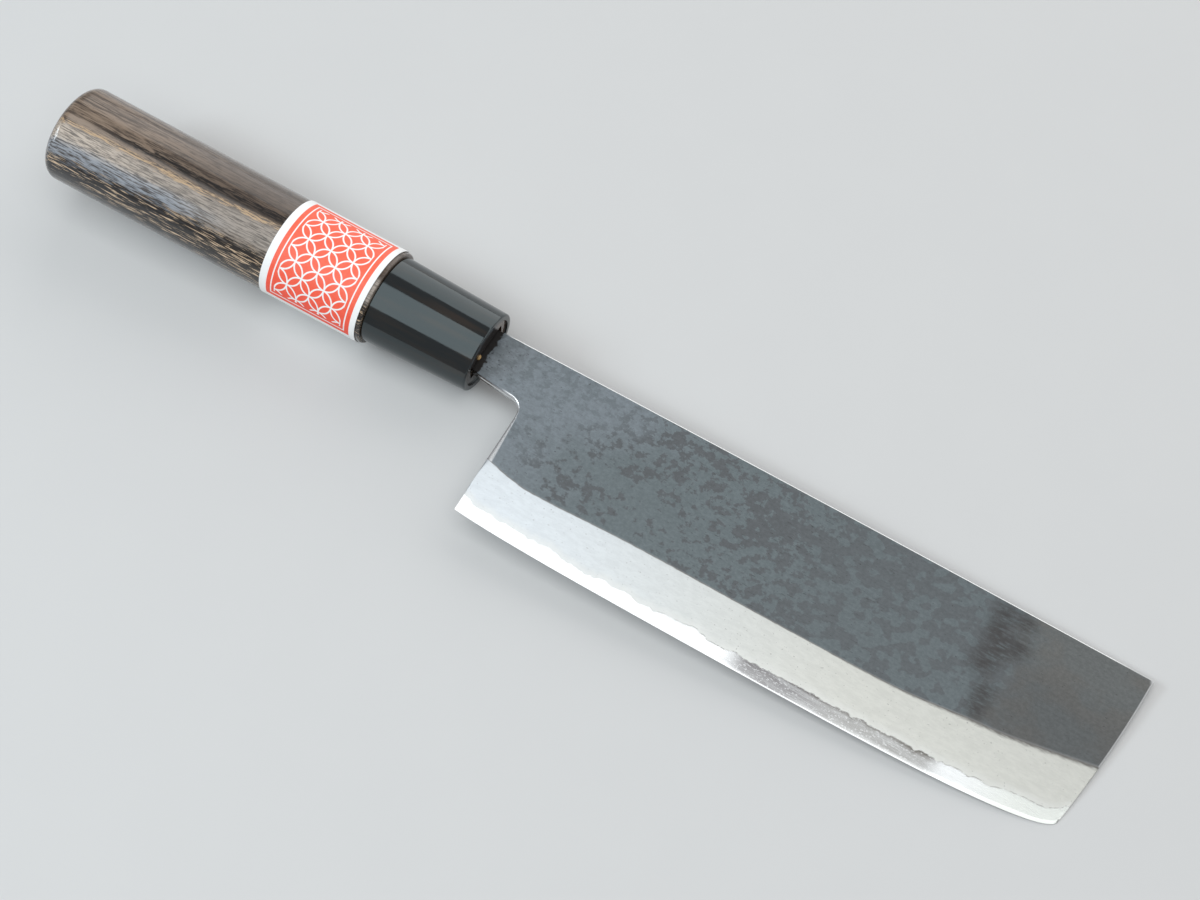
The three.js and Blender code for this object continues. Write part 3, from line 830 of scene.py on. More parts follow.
class Finish:
    """A material under construction. Short methods add nodes and give back their outputs."""

    def __init__(self, name, **constants):
        self.material = bpy.data.materials.new(name)
        self.material.use_nodes = True
        self.tree = self.material.node_tree
        self.shader = self.tree.nodes["Principled BSDF"]
        self.set(**constants)
        self.mm = self.add("Attribute", {}, attribute_name="knife_mm").outputs["Vector"]
        self.x, self.y, self.z = self.add("SeparateXYZ", {0: self.mm}).outputs

    def set(self, **inputs):
        """Sets or links sockets of the shader, named with _ for a space."""
        for name, value in inputs.items():
            self.wire(self.shader.inputs[name.replace("_", " ")], value)

    def wire(self, socket, value):
        """Links an output to a socket, or sets the socket to a number or a colour."""
        if isinstance(value, bpy.types.NodeSocket):
            self.tree.links.new(value, socket)
        else:
            socket.default_value = (*value, 1) if socket.type == "RGBA" else value

    def add(self, kind, inputs, **settings):
        """A new node with its settings and inputs."""
        node = self.tree.nodes.new("ShaderNode" + kind)
        for name, value in settings.items():
            setattr(node, name, value)
        for socket, value in inputs.items():
            self.wire(node.inputs[socket], value)
        return node

    def noted(self, name):
        """A number stored on the points of the piece."""
        return self.add("Attribute", {}, attribute_name=name).outputs["Fac"]

    def calc(self, operation, *values):
        """One step of arithmetic."""
        return self.add("Math", dict(enumerate(values)), operation=operation).outputs[0]

    def plus(self, *values):
        """The sum of all values."""
        return reduce(lambda a, b: self.calc("ADD", a, b), values)

    def minus(self, value, less):
        """A value less another one."""
        return self.calc("SUBTRACT", value, less)

    def times(self, *values):
        """The product of all values."""
        return reduce(lambda a, b: self.calc("MULTIPLY", a, b), values)

    def ease(self, value, low, high, start=0.0, end=1.0):
        """Goes softly from start to end while a value goes from low to high."""
        span = {"From Min": low, "From Max": high, "To Min": start, "To Max": end}
        node = self.add("MapRange", {"Value": value, **span}, interpolation_type="SMOOTHSTEP")
        return node.outputs["Result"]

    def grain(self, size, detail=2.0, rough=0.5, shift=0.0):
        """Noise from 0 to 1 with grains of a size in mm: one number, or one for each way."""
        per_mm = np.broadcast_to(1 / np.asarray(size, float), 3)
        moved = {"Vector": self.mm, "Location": (shift, shift, shift), "Scale": per_mm}
        place = self.add("Mapping", moved).outputs[0]
        noisy = {"Vector": place, "Scale": 1.0, "Detail": detail, "Roughness": rough}
        return self.add("TexNoise", noisy).outputs["Fac"]

    def wander(self, grain, span):
        """Noise turned into a drift to both sides of 0, over some span."""
        return self.times(self.minus(grain, 0.5), span)

    def near(self, centre, reach):
        """1 at a place on the knife, fading to 0 at some reach from it."""
        away = self.add("VectorMath", {0: self.mm, 1: centre}, operation="DISTANCE")
        return self.ease(away.outputs["Value"], reach, 0)

    def mix(self, share, a, b, way="MIX"):
        """Colour a with a share of colour b laid over it."""
        node = self.add("Mix", {0: share, 6: a, 7: b}, data_type="RGBA", blend_type=way)
        return node.outputs[2]

    def shade(self, share, colour):
        """A colour darkened by a share."""
        return self.mix(share, colour, SHADE, way="MULTIPLY")

    def relief(self, height, depth):
        """Fine relief from a height of 0 to 1 that stands for some depth in mm."""
        bump = {"Strength": 1.0, "Height": height, "Distance": depth * MM}
        self.set(Normal=self.add("Bump", bump).outputs["Normal"])


def dress(piece, *finishes):
    """Gives a piece its finishes, in the order of its faces' numbers."""
    for finish in finishes:
        piece.data.materials.append(finish.material)
    print(piece.name, "wears", ", ".join(finish.material.name for finish in finishes))


print("A finish is made with", ", ".join(word for word in vars(Finish) if "__" not in word))

# %% [markdown]
# ## Forge scale
# The flats keep the oxide skin of the forge: a blue-grey film with darker islands where it flaked.
# One noise would look like marble. Here light and dark are cut from a noise by a step, and a slow
# lean decides which of them wins where. The step is soft near the neck and crisp in the middle, where
# the islands join to a broken net. In front another noise takes over, and the islands get rounder and
# fainter.
# In this and all other finishes, names that end in X, Y or Z are places or stretches on the knife,
# in millimetres. Three numbers for islands, cracks or fibres are the size of a grain: along, across
# and through the knife.

# %% Islands of the scale
CRUMBLY_ISLANDS = (2.8, 2.3, 0.5)
ROUND_ISLANDS = (3.3, 2.8, 0.5)
LIGHT_FROM = 0.69
LEAN_DRIFT = (24, 14, 3)
LEAN_X = (28, 110)
LEAN_Y = (-6, -26)
SPINE_LEAN_X = (80, 95)
SPINE_LEAN_Y = (-9, -5)
CRISP_X = (25, 60)
FAINT_X = (75, 115)
ROUND_X = (92, 122)

scale = Finish("forge_scale")
crumbly = scale.grain(CRUMBLY_ISLANDS, detail=5, rough=0.64)
rounded = scale.grain(ROUND_ISLANDS, detail=2, rough=0.45)
lean = scale.plus(
    scale.times(scale.grain(LEAN_DRIFT, detail=1), 0.36),
    scale.ease(scale.x, *LEAN_X, 0.02, -0.01),
    scale.ease(scale.y, *LEAN_Y, -0.03, 0.04),
    scale.times(scale.ease(scale.y, *SPINE_LEAN_Y), scale.ease(scale.x, *SPINE_LEAN_X, 0, 0.08)),
)
patches = scale.plus(scale.ease(scale.x, *ROUND_X, crumbly, rounded), lean)
softness = scale.ease(scale.x, *CRISP_X, 0.045, 0.022)
islands = scale.ease(scale.minus(patches, LIGHT_FROM), scale.times(softness, -1), softness)
contrast = scale.ease(scale.x, *FAINT_X, 1.0, 0.58)
light_share = scale.plus(scale.wander(islands, contrast), 0.5)
print("Islands of the scale take", len(scale.tree.nodes), "nodes")

# %% [markdown]
# The two tones are not the same all over the blade: they are paler by the neck, and at the tip
# nearly one grey, with faint heat colours. The place x is made wavy by a noise before it is used,
# so that nobody sees where one stretch ends and the next begins.

# %% Tones of the scale
LIGHT_SCALE = (0.142, 0.172, 0.181)
DARK_SCALE = (0.104, 0.113, 0.120)
NECK_SCALE = (0.200, 0.230, 0.253)
NECK_SHADE = (0.160, 0.187, 0.204)
TIP_SCALE = (0.134, 0.137, 0.134)
TIP_SHADE = (0.109, 0.113, 0.113)
HEAT_WARM = (1.0, 0.90, 0.80)
HEAT_COOL = (0.88, 0.98, 1.0)
HEAT_SHARE = 0.35
HEAT_CLOUDS = (16, 11, 3)
WAVE_SIZE = 6
WAVE_REACH = 24
LIGHT_NECK_X = (66, 32)
DARK_NECK_X = (52, 34)
NECK_SLANT_Y = (-22, -4)
NECK_SLANT = (7, -14)
TIP_X = (160, 172)
TIP_SHADE_Y = (-6, -20)

wavy_x = scale.plus(scale.x, scale.times(scale.grain(WAVE_SIZE, detail=3), WAVE_REACH))
slanted_x = scale.plus(wavy_x, scale.ease(scale.y, *NECK_SLANT_Y, *NECK_SLANT))
light = scale.mix(scale.ease(slanted_x, *LIGHT_NECK_X), LIGHT_SCALE, NECK_SCALE)
dark = scale.mix(scale.ease(slanted_x, *DARK_NECK_X), DARK_SCALE, NECK_SHADE)
colour = scale.mix(light_share, dark, light)
heat = scale.ease(scale.grain(HEAT_CLOUDS, detail=3, shift=3), 0.42, 0.58)
tip = scale.mix(scale.ease(scale.y, *TIP_SHADE_Y), TIP_SCALE, TIP_SHADE)
tip = scale.mix(HEAT_SHARE, tip, scale.mix(heat, HEAT_WARM, HEAT_COOL), way="MULTIPLY")
colour = scale.mix(scale.ease(wavy_x, *TIP_X), colour, tip)
print("Islands and tones take", len(scale.tree.nodes), "nodes")

# %% [markdown]
# On the skin lie its marks: a smoke-brown stain behind the tip, short cracks in the middle, fine
# scratches along the blade, specks, pits that are more frequent by the handle, and a ragged
# near-black band next to the mouth of the handle. Each is a mask, laid over the colour so far. The
# stain is a handful of soft spots, broken up by a noise drawn out along the blade.

# %% Marks on the scale
STAIN_BROWN = (0.045, 0.041, 0.040)
PIT_BLACK = (0.03, 0.03, 0.033)
MOUTH_DARK = (0.012, 0.010, 0.009)
# Place x, y and reach of each spot.
STAINS = (
    (147.5, -3.0, 6.0), (147.5, -8.0, 6.0), (149.5, -12.0, 7.5), (147.8, -17.0, 6.5),
    (151.5, -24.0, 5.5), (151.5, -28.5, 5.0), (153.0, -3.0, 5.0), (154.0, -9.5, 5.5),
)
STAIN_Z = 1.0
SMOKE = (3.2, 0.7, 0.7)
CRACKS = (2.6, 0.28, 0.28)
CRACKS_BEGIN_X = (50, 75)
CRACKS_END_X = (135, 115)
SCRATCHES = (18, 0.24, 0.24)
SCRATCHED_X = (125, 165)
SPECKS = (1.1, 0.9, 0.9)
PITS = (1.0, 0.45, 0.45)
PITTED_X = (18, 3)
MOUTH_DARK_X = (1.8, 0.9)
MOUTH_DARK_GRAIN = 0.9
MOUTH_DARK_WANDER = 3.5

smoke = scale.ease(scale.grain(SMOKE, detail=4, rough=0.65), 0.3, 0.6, 0.25, 1)
for spot_x, spot_y, reach in STAINS:
    spot = scale.times(scale.near((spot_x, spot_y, STAIN_Z), reach), smoke, 0.9)
    colour = scale.mix(spot, colour, STAIN_BROWN)
cracks = scale.times(
    scale.ease(scale.grain(CRACKS, detail=2, shift=11), 0.66, 0.72),
    scale.ease(scale.x, *CRACKS_BEGIN_X),
    scale.ease(scale.x, *CRACKS_END_X),
    0.6,
)
colour = scale.mix(cracks, colour, PIT_BLACK)
scratches = scale.ease(scale.grain(SCRATCHES, detail=3, shift=7), 0.42, 0.68)
colour = scale.shade(scale.times(scratches, scale.ease(scale.x, *SCRATCHED_X, 0.15, 0.18)), colour)
specks = scale.grain(SPECKS, detail=5, rough=0.75, shift=6)
colour = scale.shade(scale.ease(specks, 0.35, 0.68, 0.55, 0), colour)
pit_grain = scale.grain(PITS, detail=3, shift=5)
pits = scale.ease(scale.plus(pit_grain, scale.ease(scale.x, *PITTED_X, 0, 0.05)), 0.68, 0.74)
colour = scale.mix(scale.times(pits, 0.75), colour, PIT_BLACK)
# Next to the mouth of the handle the colour goes near-black, in a ragged band.
ragged_mouth_x = scale.plus(scale.x, scale.wander(scale.grain(MOUTH_DARK_GRAIN, detail=4, shift=2), MOUTH_DARK_WANDER))
colour = scale.mix(scale.ease(ragged_mouth_x, *MOUTH_DARK_X), colour, MOUTH_DARK)
print("The stain reaches back to x =", min(x - reach for x, y, reach in STAINS), "mm")

# %% [markdown]
# Handling wears the scale where it stands proud: to a grey hem along the grinding line, and to a
# thin line of bare metal along the arrises, which fades out close to the handle. The distances
# stored on the mesh tell how far a point is from either line. Bare metal is metallic and scale is
# not, so one mask drives colour, metal and roughness together.

# %% Wear and gloss of the scale
BARE_STEEL = (0.80, 0.81, 0.82)
WORN_SCALE = (0.34, 0.34, 0.335)
HEM_X = (130, 178)
HEM_WIDTHS = (0.35, 0.7)
RUBBED_REACH = (0.44, 0.24)
LESS_RUBBED_X = (174, 182)
TIP_CORNER = (186.4, -0.4, 0.8)
CORNER_REACH = 1.5
UNHANDLED_Y = (-9, -5)
UNHANDLED_LENGTHS = (8, 1)
HANDLED_FADE = 4
SKIN_GRAIN = 0.4
SKIN_DEPTH = 0.012

hem = scale.ease(scale.x, *HEM_X, *HEM_WIDTHS)
worn = scale.ease(scale.calc("DIVIDE", scale.noted("from_grind"), hem), 1, 0, 0, 0.35)
colour = scale.mix(worn, colour, WORN_SCALE)
rubbed = scale.ease(scale.noted("from_rim"), *RUBBED_REACH)
rubbed = scale.times(rubbed, scale.ease(scale.x, *LESS_RUBBED_X, 1, 0.6))
rubbed = scale.calc("MAXIMUM", rubbed, scale.near(TIP_CORNER, CORNER_REACH))
handled_from = scale.ease(scale.y, *UNHANDLED_Y, *UNHANDLED_LENGTHS)
rubbed = scale.times(rubbed, scale.ease(scale.minus(scale.x, handled_from), 0, HANDLED_FADE))
scale.set(Base_Color=scale.mix(rubbed, colour, BARE_STEEL), Metallic=rubbed)
skin_rough = scale.ease(islands, 0, 1, 0.48, 0.40)
scale.set(Roughness=scale.ease(rubbed, 0, 1, skin_rough, 0.25))
scale.relief(scale.minus(scale.times(scale.grain(SKIN_GRAIN, detail=3), 0.5), pits), SKIN_DEPTH)
print("The whole scale takes", len(scale.tree.nodes), "nodes")

# %% [markdown]
# ## Ground iron
# Below the grinding line the iron was brought down on stones and then blasted to an even mist:
# pale, soft, with tiny dark specks of slag, and paler still along the weld. Metal has no diffuse
# colour, so its look is all roughness: a rough metal blurs the room into a soft white. Right at the
# grinding line the stone left a smudged, ragged border of grey-brown that widens towards the tip.

# %% Misted iron
MIST_HEEL = (0.69, 0.73, 0.76)
MIST_TIP = (0.67, 0.67, 0.625)
MIST_FRINGE = (0.76, 0.765, 0.74)
BORDER_GREY = (0.19, 0.182, 0.172)
SLAG = (0.25, 0.24, 0.23)
MIST_X = (20, 130)
CLOUDS = (3, 1, 1)
SLAG_SPECKS = (0.6, 0.45, 0.45)
MIST_GRAIN = 0.3
BLAST_GRAIN = 0.22
BLAST_DEPTH = 0.006
FRINGE_REACH = (2.4, 0.2)
WELD_BORDER_REACH = (0.3, 0.1)
WELD_BORDER_X = (55, 95)
WELD_BREAKS = (1.3, 0.5, 0.5)
BORDER_X = (110, 165)
BORDER_WIDTHS = (0.32, 1.3)
BORDER_TATTERS = (1.8, 0.5, 0.5)

mist = Finish("misted_iron", Metallic=1.0)
colour = mist.mix(mist.ease(mist.x, *MIST_X), MIST_HEEL, MIST_TIP)
cloud = mist.grain(CLOUDS, detail=5, rough=0.75)
colour = mist.shade(mist.ease(cloud, 0.35, 0.65, 0, 0.2), colour)
from_weld = mist.noted("from_weld")
colour = mist.mix(mist.ease(from_weld, *FRINGE_REACH, 0, 0.5), colour, MIST_FRINGE)
slag_specks = mist.ease(mist.grain(SLAG_SPECKS, detail=2, shift=3), 0.68, 0.74)
colour = mist.mix(mist.times(slag_specks, 0.6), colour, SLAG)
weld_border = mist.times(
    mist.ease(from_weld, *WELD_BORDER_REACH),
    mist.ease(mist.x, *WELD_BORDER_X),
    mist.ease(mist.grain(WELD_BREAKS, detail=3, shift=4), 0.42, 0.58, 0, 0.6),
)
colour = mist.mix(weld_border, colour, BORDER_GREY)
border_width = mist.ease(mist.x, *BORDER_X, *BORDER_WIDTHS)
ragged = mist.wander(mist.grain(BORDER_TATTERS, detail=3), border_width)
into_border = mist.calc("DIVIDE", mist.plus(mist.noted("from_grind"), ragged), border_width)
mist.set(Base_Color=mist.mix(mist.ease(into_border, -1, 0), colour, BORDER_GREY))
mist.set(Roughness=mist.ease(mist.grain(MIST_GRAIN, detail=3), 0.3, 0.7, 0.36, 0.44))
mist.relief(mist.grain(BLAST_GRAIN, detail=3), BLAST_DEPTH)
print("The border is", *BORDER_WIDTHS, "mm wide at the heel and the tip")

# %% [markdown]
# ## Filed steel
# The narrow faces of spine, heel and front were filed and keep fine lines across. A noise that is
# short along the knife and long the other two ways draws them, on all these faces at once. Close
# to the handle the faces are brown from the heat of the tang.

# %% Filed faces
FILED_STEEL = (0.60, 0.60, 0.61)
FILED_DARK = (0.42, 0.42, 0.43)
HEAT_BROWN = (0.09, 0.06, 0.045)
FILE_MARKS = (0.12, 3, 3)
FILE_DEPTH = 0.01
BROWN_X = (11, 6)
BROWN_GRAIN = 1.5
BROWN_WANDER = 4

filed = Finish("filed_steel", Metallic=1.0)
file_marks = filed.grain(FILE_MARKS, detail=2)
colour = filed.mix(filed.ease(file_marks, 0.3, 0.7), FILED_STEEL, FILED_DARK)
heated_x = filed.plus(filed.x, filed.times(filed.grain(BROWN_GRAIN, detail=3), BROWN_WANDER))
filed.set(Base_Color=filed.mix(filed.ease(heated_x, *BROWN_X), colour, HEAT_BROWN))
filed.set(Roughness=filed.ease(file_marks, 0.3, 0.7, 0.26, 0.40))
filed.relief(file_marks, FILE_DEPTH)
for layer in (right_iron, left_iron):
    dress(layer, scale, mist, filed)

# %% [markdown]
# ## Bare core steel
# The hard steel takes a finer polish than the iron, so its strip along the edge is brighter and
# clearer. Along one long stretch its colour is painted dark, a painted dark reflection laid in
# whetting strokes: deepest along the weld, clearer below it, bright at the very edge, with lighter
# specks in it. The painted reflection is the product of masks along and across the strip and of a
# noise drawn out along it.

# %% Whetted core
WHETTED_BRIGHT = (0.82, 0.83, 0.83)
WHETTED_TIP = (0.77, 0.79, 0.75)
# The two dull colours are a painted dark reflection in the steel.
PAINTED_DARK_REFLECTION = (0.172, 0.162, 0.165)
PAINTED_WARM_REFLECTION = (0.180, 0.168, 0.152)
STROKES = (14, 1.2, 1.2)
GLITTER = (0.7, 0.4, 0.4)
WHET_MARKS = (0.4, 0.1, 0.1)
WHET_DEPTH = 0.002
DARK_REFLECTION_FROM_X = (91, 99)
DARK_REFLECTION_TO_X = (152, 146)
BRIGHT_EDGE = (0.1, 0.5)
BELOW_WELD = (0.2, 1.5)
CLEARER_X = (108, 126)
WARM_X = (108, 128)
WARM_TIP_X = (152, 172)
CALM_EDGE = (0.75, 0.55)
CALM_X = (148, 168)

whetted = Finish("whetted_steel", Metallic=1.0)
strokes = whetted.grain(STROKES, detail=4, rough=0.6)
from_edge = whetted.noted("from_edge")
reflection_left = whetted.ease(whetted.x, *CLEARER_X, 0.92, 0.72)
# Where the painted dark reflection lies on the bright steel.
painted_reflection_share = whetted.times(
    whetted.ease(whetted.x, *DARK_REFLECTION_FROM_X),
    whetted.ease(whetted.x, *DARK_REFLECTION_TO_X),
    whetted.ease(strokes, 0.3, 0.7, 1, 0.65),
    whetted.ease(from_edge, *BRIGHT_EDGE),
    whetted.ease(whetted.noted("below_weld"), *BELOW_WELD, 1, reflection_left),
    whetted.ease(whetted.grain(GLITTER, detail=2, shift=3), 0.56, 0.68, 1, 0.6),
)
bright = whetted.mix(whetted.ease(whetted.x, *WARM_TIP_X), WHETTED_BRIGHT, WHETTED_TIP)
calm = whetted.times(whetted.ease(from_edge, *CALM_EDGE), whetted.ease(whetted.x, *CALM_X, 0, 0.45))
painted_reflection = whetted.mix(whetted.ease(whetted.x, *WARM_X), PAINTED_DARK_REFLECTION, PAINTED_WARM_REFLECTION)
whetted.set(Base_Color=whetted.mix(painted_reflection_share, whetted.shade(calm, bright), painted_reflection))
whetted.set(Roughness=whetted.ease(strokes, 0.3, 0.7, 0.20, 0.30))
whetted.relief(whetted.grain(WHET_MARKS, detail=2), WHET_DEPTH)
dress(core, whetted)

# %% [markdown]
# ## Burnt wood
# The handle was scorched, brushed and lacquered. Brushing takes the soft early wood and leaves
# the hard fibres standing, so the grain is relief as well as colour. Two noises stretched along the
# handle make all of it: long streaks and short fibres. The grain slopes and sways a little, so the
# height y is bent into a height along the grain, and marks laid by it follow the wood.
# The shine comes from a clear coat, and on one side also from a painted sheen in the colour. Wood
# under lacquer hardly shines by itself, so its own index of refraction is low.

# %% Grain of the wood
UMBER = (0.070, 0.049, 0.036)
TAN = (0.185, 0.135, 0.100)
PALE_TAN = (0.25, 0.185, 0.135)
STREAKS = (26, 0.9, 0.9)
FIBRES = (4.2, 0.36, 0.36)
GRAIN_SLOPE = 0.03
SLOPE_FROM_X = -65.0
SWAYS = (45, 6, 6)
GRAIN_SWAY = 2.0
FIBRE_FRAY = 4.0
PALER_X = (-75, -125)
DARKER_X = (-110, -70)

burnt = Finish("lacquered_wood", IOR=1.25, Coat_Weight=1.0, Coat_Roughness=0.13)
streaks = burnt.grain(STREAKS, detail=4, rough=0.6)
fibres = burnt.grain(FIBRES, detail=3, rough=0.62, shift=2)
grain_y = burnt.plus(
    burnt.y,
    burnt.times(burnt.minus(SLOPE_FROM_X, burnt.x), GRAIN_SLOPE),
    burnt.wander(burnt.grain(SWAYS, detail=2), GRAIN_SWAY),
    burnt.wander(fibres, FIBRE_FRAY),
)
to_butt = burnt.ease(burnt.x, *PALER_X)
wood_tone = burnt.plus(burnt.times(streaks, 0.6), burnt.times(fibres, 0.4))
colour = burnt.mix(burnt.ease(wood_tone, 0.42, 0.58), UMBER, burnt.mix(to_butt, TAN, PALE_TAN))
colour = burnt.mix(burnt.ease(burnt.x, *DARKER_X, 0, 0.6), colour, UMBER)
print("The grain rises", GRAIN_SLOPE * 100, "mm over 100 mm")

# %% [markdown]
# Along the grain lie the marks of this piece of wood: a scorched underside, and a black streak with a
# dark fringe over it and a golden line under it. Over one side lies a painted sheen, silvery and
# paler at the butt, turning to a painted bluish reflection near the butt. One helper parts the side
# of the handle at a height, the other draws a streak along it.

# %% Sides and streaks of the wood
SCORCHED = (0.010, 0.007, 0.006)
SHADED = (0.17, 0.145, 0.12)
BLUE_SHADED = (0.07, 0.065, 0.065)
# The next three colours are a painted sheen, a paler painted sheen at the butt, and a painted bluish
# reflection.
PAINTED_SHEEN = (0.36, 0.31, 0.265)
PAINTED_SHEEN_AT_BUTT = (0.56, 0.475, 0.395)
PAINTED_BLUE_REFLECTION = (0.34, 0.375, 0.42)
GOLDEN = (0.56, 0.38, 0.21)
PAINTED_SHEEN_BELOW = -9.0
PAINTED_BLUE_BELOW = -12.8
PAINTED_BLUE_X = (-70, -95)
SCORCHED_BELOW = -16.0
STREAK_TAPER = 8.0
# Height, half width, back and front of a streak.
FRINGE = (-4.6, 1.8, -110, -54)
GOLDEN_LINE = (-8.4, 0.8, -140, -56)
BLACK_STREAK_Y = -6.3
BLACK_STREAK_ENDS = (-116, -54)
BLACK_GROWS_X = (-118, -80)
BLACK_HALF_WIDTHS = (0.9, 1.6)


def below(height, soft=1.0):
    """1 below a height on the side of the handle, 0 above it."""
    return burnt.ease(grain_y, height + soft, height - soft)


def streak_at(height, half_width, back, front):
    """A long streak at a height on the side of the handle, between two places along it."""
    away = burnt.calc("ABSOLUTE", burnt.minus(grain_y, height))
    across = burnt.ease(burnt.calc("DIVIDE", away, half_width), 1, 0.5)
    begun = burnt.ease(burnt.x, back - STREAK_TAPER, back + STREAK_TAPER)
    ended = burnt.ease(burnt.x, front + STREAK_TAPER, front - STREAK_TAPER)
    return burnt.times(across, begun, ended)


# Below a height the colour of the wood is a painted sheen of the lamps, bluish towards the butt.
painted_blue_share = burnt.times(below(PAINTED_BLUE_BELOW), burnt.ease(burnt.x, *PAINTED_BLUE_X))
painted_sheen_tone = burnt.mix(painted_blue_share, burnt.mix(to_butt, PAINTED_SHEEN, PAINTED_SHEEN_AT_BUTT), PAINTED_BLUE_REFLECTION)
between = burnt.mix(painted_blue_share, SHADED, BLUE_SHADED)
painted_sheen_zone = burnt.mix(burnt.ease(fibres, 0.38, 0.58), between, painted_sheen_tone)
colour = burnt.mix(burnt.times(below(PAINTED_SHEEN_BELOW, 0.8), 0.85), colour, painted_sheen_zone)
scorched = below(SCORCHED_BELOW)
colour = burnt.mix(burnt.times(scorched, 0.95), colour, SCORCHED)
fringe = burnt.times(streak_at(*FRINGE), burnt.ease(fibres, 0.52, 0.42, 0, 0.5))
colour = burnt.mix(fringe, colour, SCORCHED)
growing = burnt.ease(burnt.x, *BLACK_GROWS_X, *BLACK_HALF_WIDTHS)
black_streak = streak_at(BLACK_STREAK_Y, growing, *BLACK_STREAK_ENDS)
black_streak = burnt.times(black_streak, burnt.ease(fibres, 0.60, 0.46, 0.45, 1))
colour = burnt.mix(black_streak, colour, SCORCHED)
golden = burnt.times(streak_at(*GOLDEN_LINE), burnt.ease(fibres, 0.44, 0.56, 0, 0.8))
colour = burnt.mix(golden, colour, GOLDEN)
print("The underside is scorched below y =", SCORCHED_BELOW, "mm")

# %% [markdown]
# On the scorched underside, fibres that were brushed through show as golden flecks. Open pores are
# short dark dashes. At the butt the same noises, cut across, are dots of end grain. The end of the
# tenon is black, partly scorched from burning the slot and partly painted shade in the recess, and
# brown only at its outside.

# %% Flecks, pores and ends of the wood
FLECK = (0.62, 0.46, 0.31)
END_BROWN = (0.06, 0.030, 0.016)
END_DARK = (0.022, 0.015, 0.011)
END_LIGHT = (0.105, 0.073, 0.050)
FLECKS = (4.6, 0.27, 0.27)
FLECKED_Y = (-21.0, -20.0)
PORES = (3.6, 0.3, 0.3)
BUTT_X = (-129.6, -131.2)
TENON_END_X = (-1.5, -0.6)
BROWN_END_Y = (-1.5, 0.5)
BROWN_END_Z = (5.5, 7.5)
BRUSHED_DEPTH = 0.07

fleck_grain = burnt.plus(burnt.grain(FLECKS, detail=3, shift=9), burnt.times(streaks, 0.3))
flecked = burnt.times(scorched, burnt.ease(burnt.y, *FLECKED_Y))
colour = burnt.mix(burnt.times(burnt.ease(fleck_grain, 0.70, 0.79), flecked), colour, FLECK)
pores = burnt.ease(burnt.grain(PORES, detail=2, shift=4), 0.60, 0.68)
colour = burnt.mix(burnt.times(pores, burnt.ease(to_butt, 0, 1, 0.7, 0.4)), colour, SCORCHED)
end_grain = burnt.mix(burnt.ease(wood_tone, 0.40, 0.60), END_DARK, END_LIGHT)
colour = burnt.mix(burnt.ease(burnt.x, *BUTT_X), colour, end_grain)
outside = burnt.calc("MAXIMUM", burnt.ease(burnt.y, *BROWN_END_Y), burnt.ease(burnt.z, *BROWN_END_Z))
# Black on the tenon's end is scorch and painted shade of the recess.
tenon_end_scorch_and_shade = burnt.mix(outside, SCORCHED, END_BROWN)
burnt.set(Base_Color=burnt.mix(burnt.ease(burnt.x, *TENON_END_X), colour, tenon_end_scorch_and_shade))
burnt.set(Roughness=burnt.ease(fibres, 0.35, 0.65, 0.46, 0.28))
burnt.relief(burnt.minus(fibres, burnt.times(pores, 0.5)), BRUSHED_DEPTH)
dress(handle, burnt)

# %% [markdown]
# ## Black horn
# The ferrule is polished almost to a mirror, so it shows the lamps as two clear bands. It needs
# next to no colour of its own: black with brown veins, a low roughness, and a high index of
# refraction for dense horn. A cool tint painted onto its reflections makes the bands bluish.
# Faint polishing marks keep it from looking like glass.

# %% Polished horn
HORN_BLACK = (0.006, 0.005, 0.005)
HORN_BROWN = (0.022, 0.012, 0.007)
HORN_PAINTED_COOL_TINT = (0.78, 0.95, 1.0)
VEINS = (24, 2.5, 2.5)
POLISHING = (8, 0.6, 0.6)
RIPPLES = (3, 0.8, 0.8)
RIPPLE_DEPTH = 0.003

# The specular tint is a painted cool colour on the horn's reflections.
horn = Finish("black_horn", IOR=1.75, Specular_Tint=HORN_PAINTED_COOL_TINT)
veins = horn.grain(VEINS, detail=3)
horn.set(Base_Color=horn.mix(horn.ease(veins, 0.45, 0.75), HORN_BLACK, HORN_BROWN))
horn.set(Roughness=horn.ease(horn.grain(POLISHING, detail=3), 0.3, 0.7, 0.04, 0.11))
horn.relief(horn.grain(RIPPLES, detail=3), RIPPLE_DEPTH)
dress(ferrule, horn)

# %% [markdown]
# ## Printed paper
# The band is white paper with a red print: a field with a fine white line inside its edge, filled
# with interlocking circles, one of the oldest repeating patterns there is. An image would need
# unwrapping and would blur. The stored place on the flat paper makes the print a matter of
# distances: a fold back and forth repeats one circle over the field, and a point is inked white
# where its distance from the circle is small. The red is deeper towards the lower edge, and is
# painted paler towards the top as a painted sheen.

# %% Lines of the print
FIELD_HALF = (17.1, 12.75)
FIELD_FORWARD = 0.25
KEYLINE_IN = 1.5
KEYLINE_WIDTH = 0.36
PATTERN_IN = 2.5
CIRCLE_RADIUS = 3.4
CIRCLE_LINE = 0.42
INK_EDGE = 0.08

paper = Finish("red_print", Roughness=0.5)
round_at = paper.noted("round_mm")
along_at = paper.minus(paper.noted("along_mm"), FIELD_FORWARD)


def inside(inset):
    """Depth in mm inside the printed field, less an inset. Negative outside."""
    sides = [
        paper.minus(half - inset, paper.calc("ABSOLUTE", at))
        for half, at in zip(FIELD_HALF, (round_at, along_at))
    ]
    return paper.calc("MINIMUM", *sides)


def printed_line(distance, width):
    """1 on a printed line, from the distance to its middle."""
    away = paper.calc("ABSOLUTE", distance)
    return paper.ease(away, width / 2 + INK_EDGE, width / 2 - INK_EDGE)


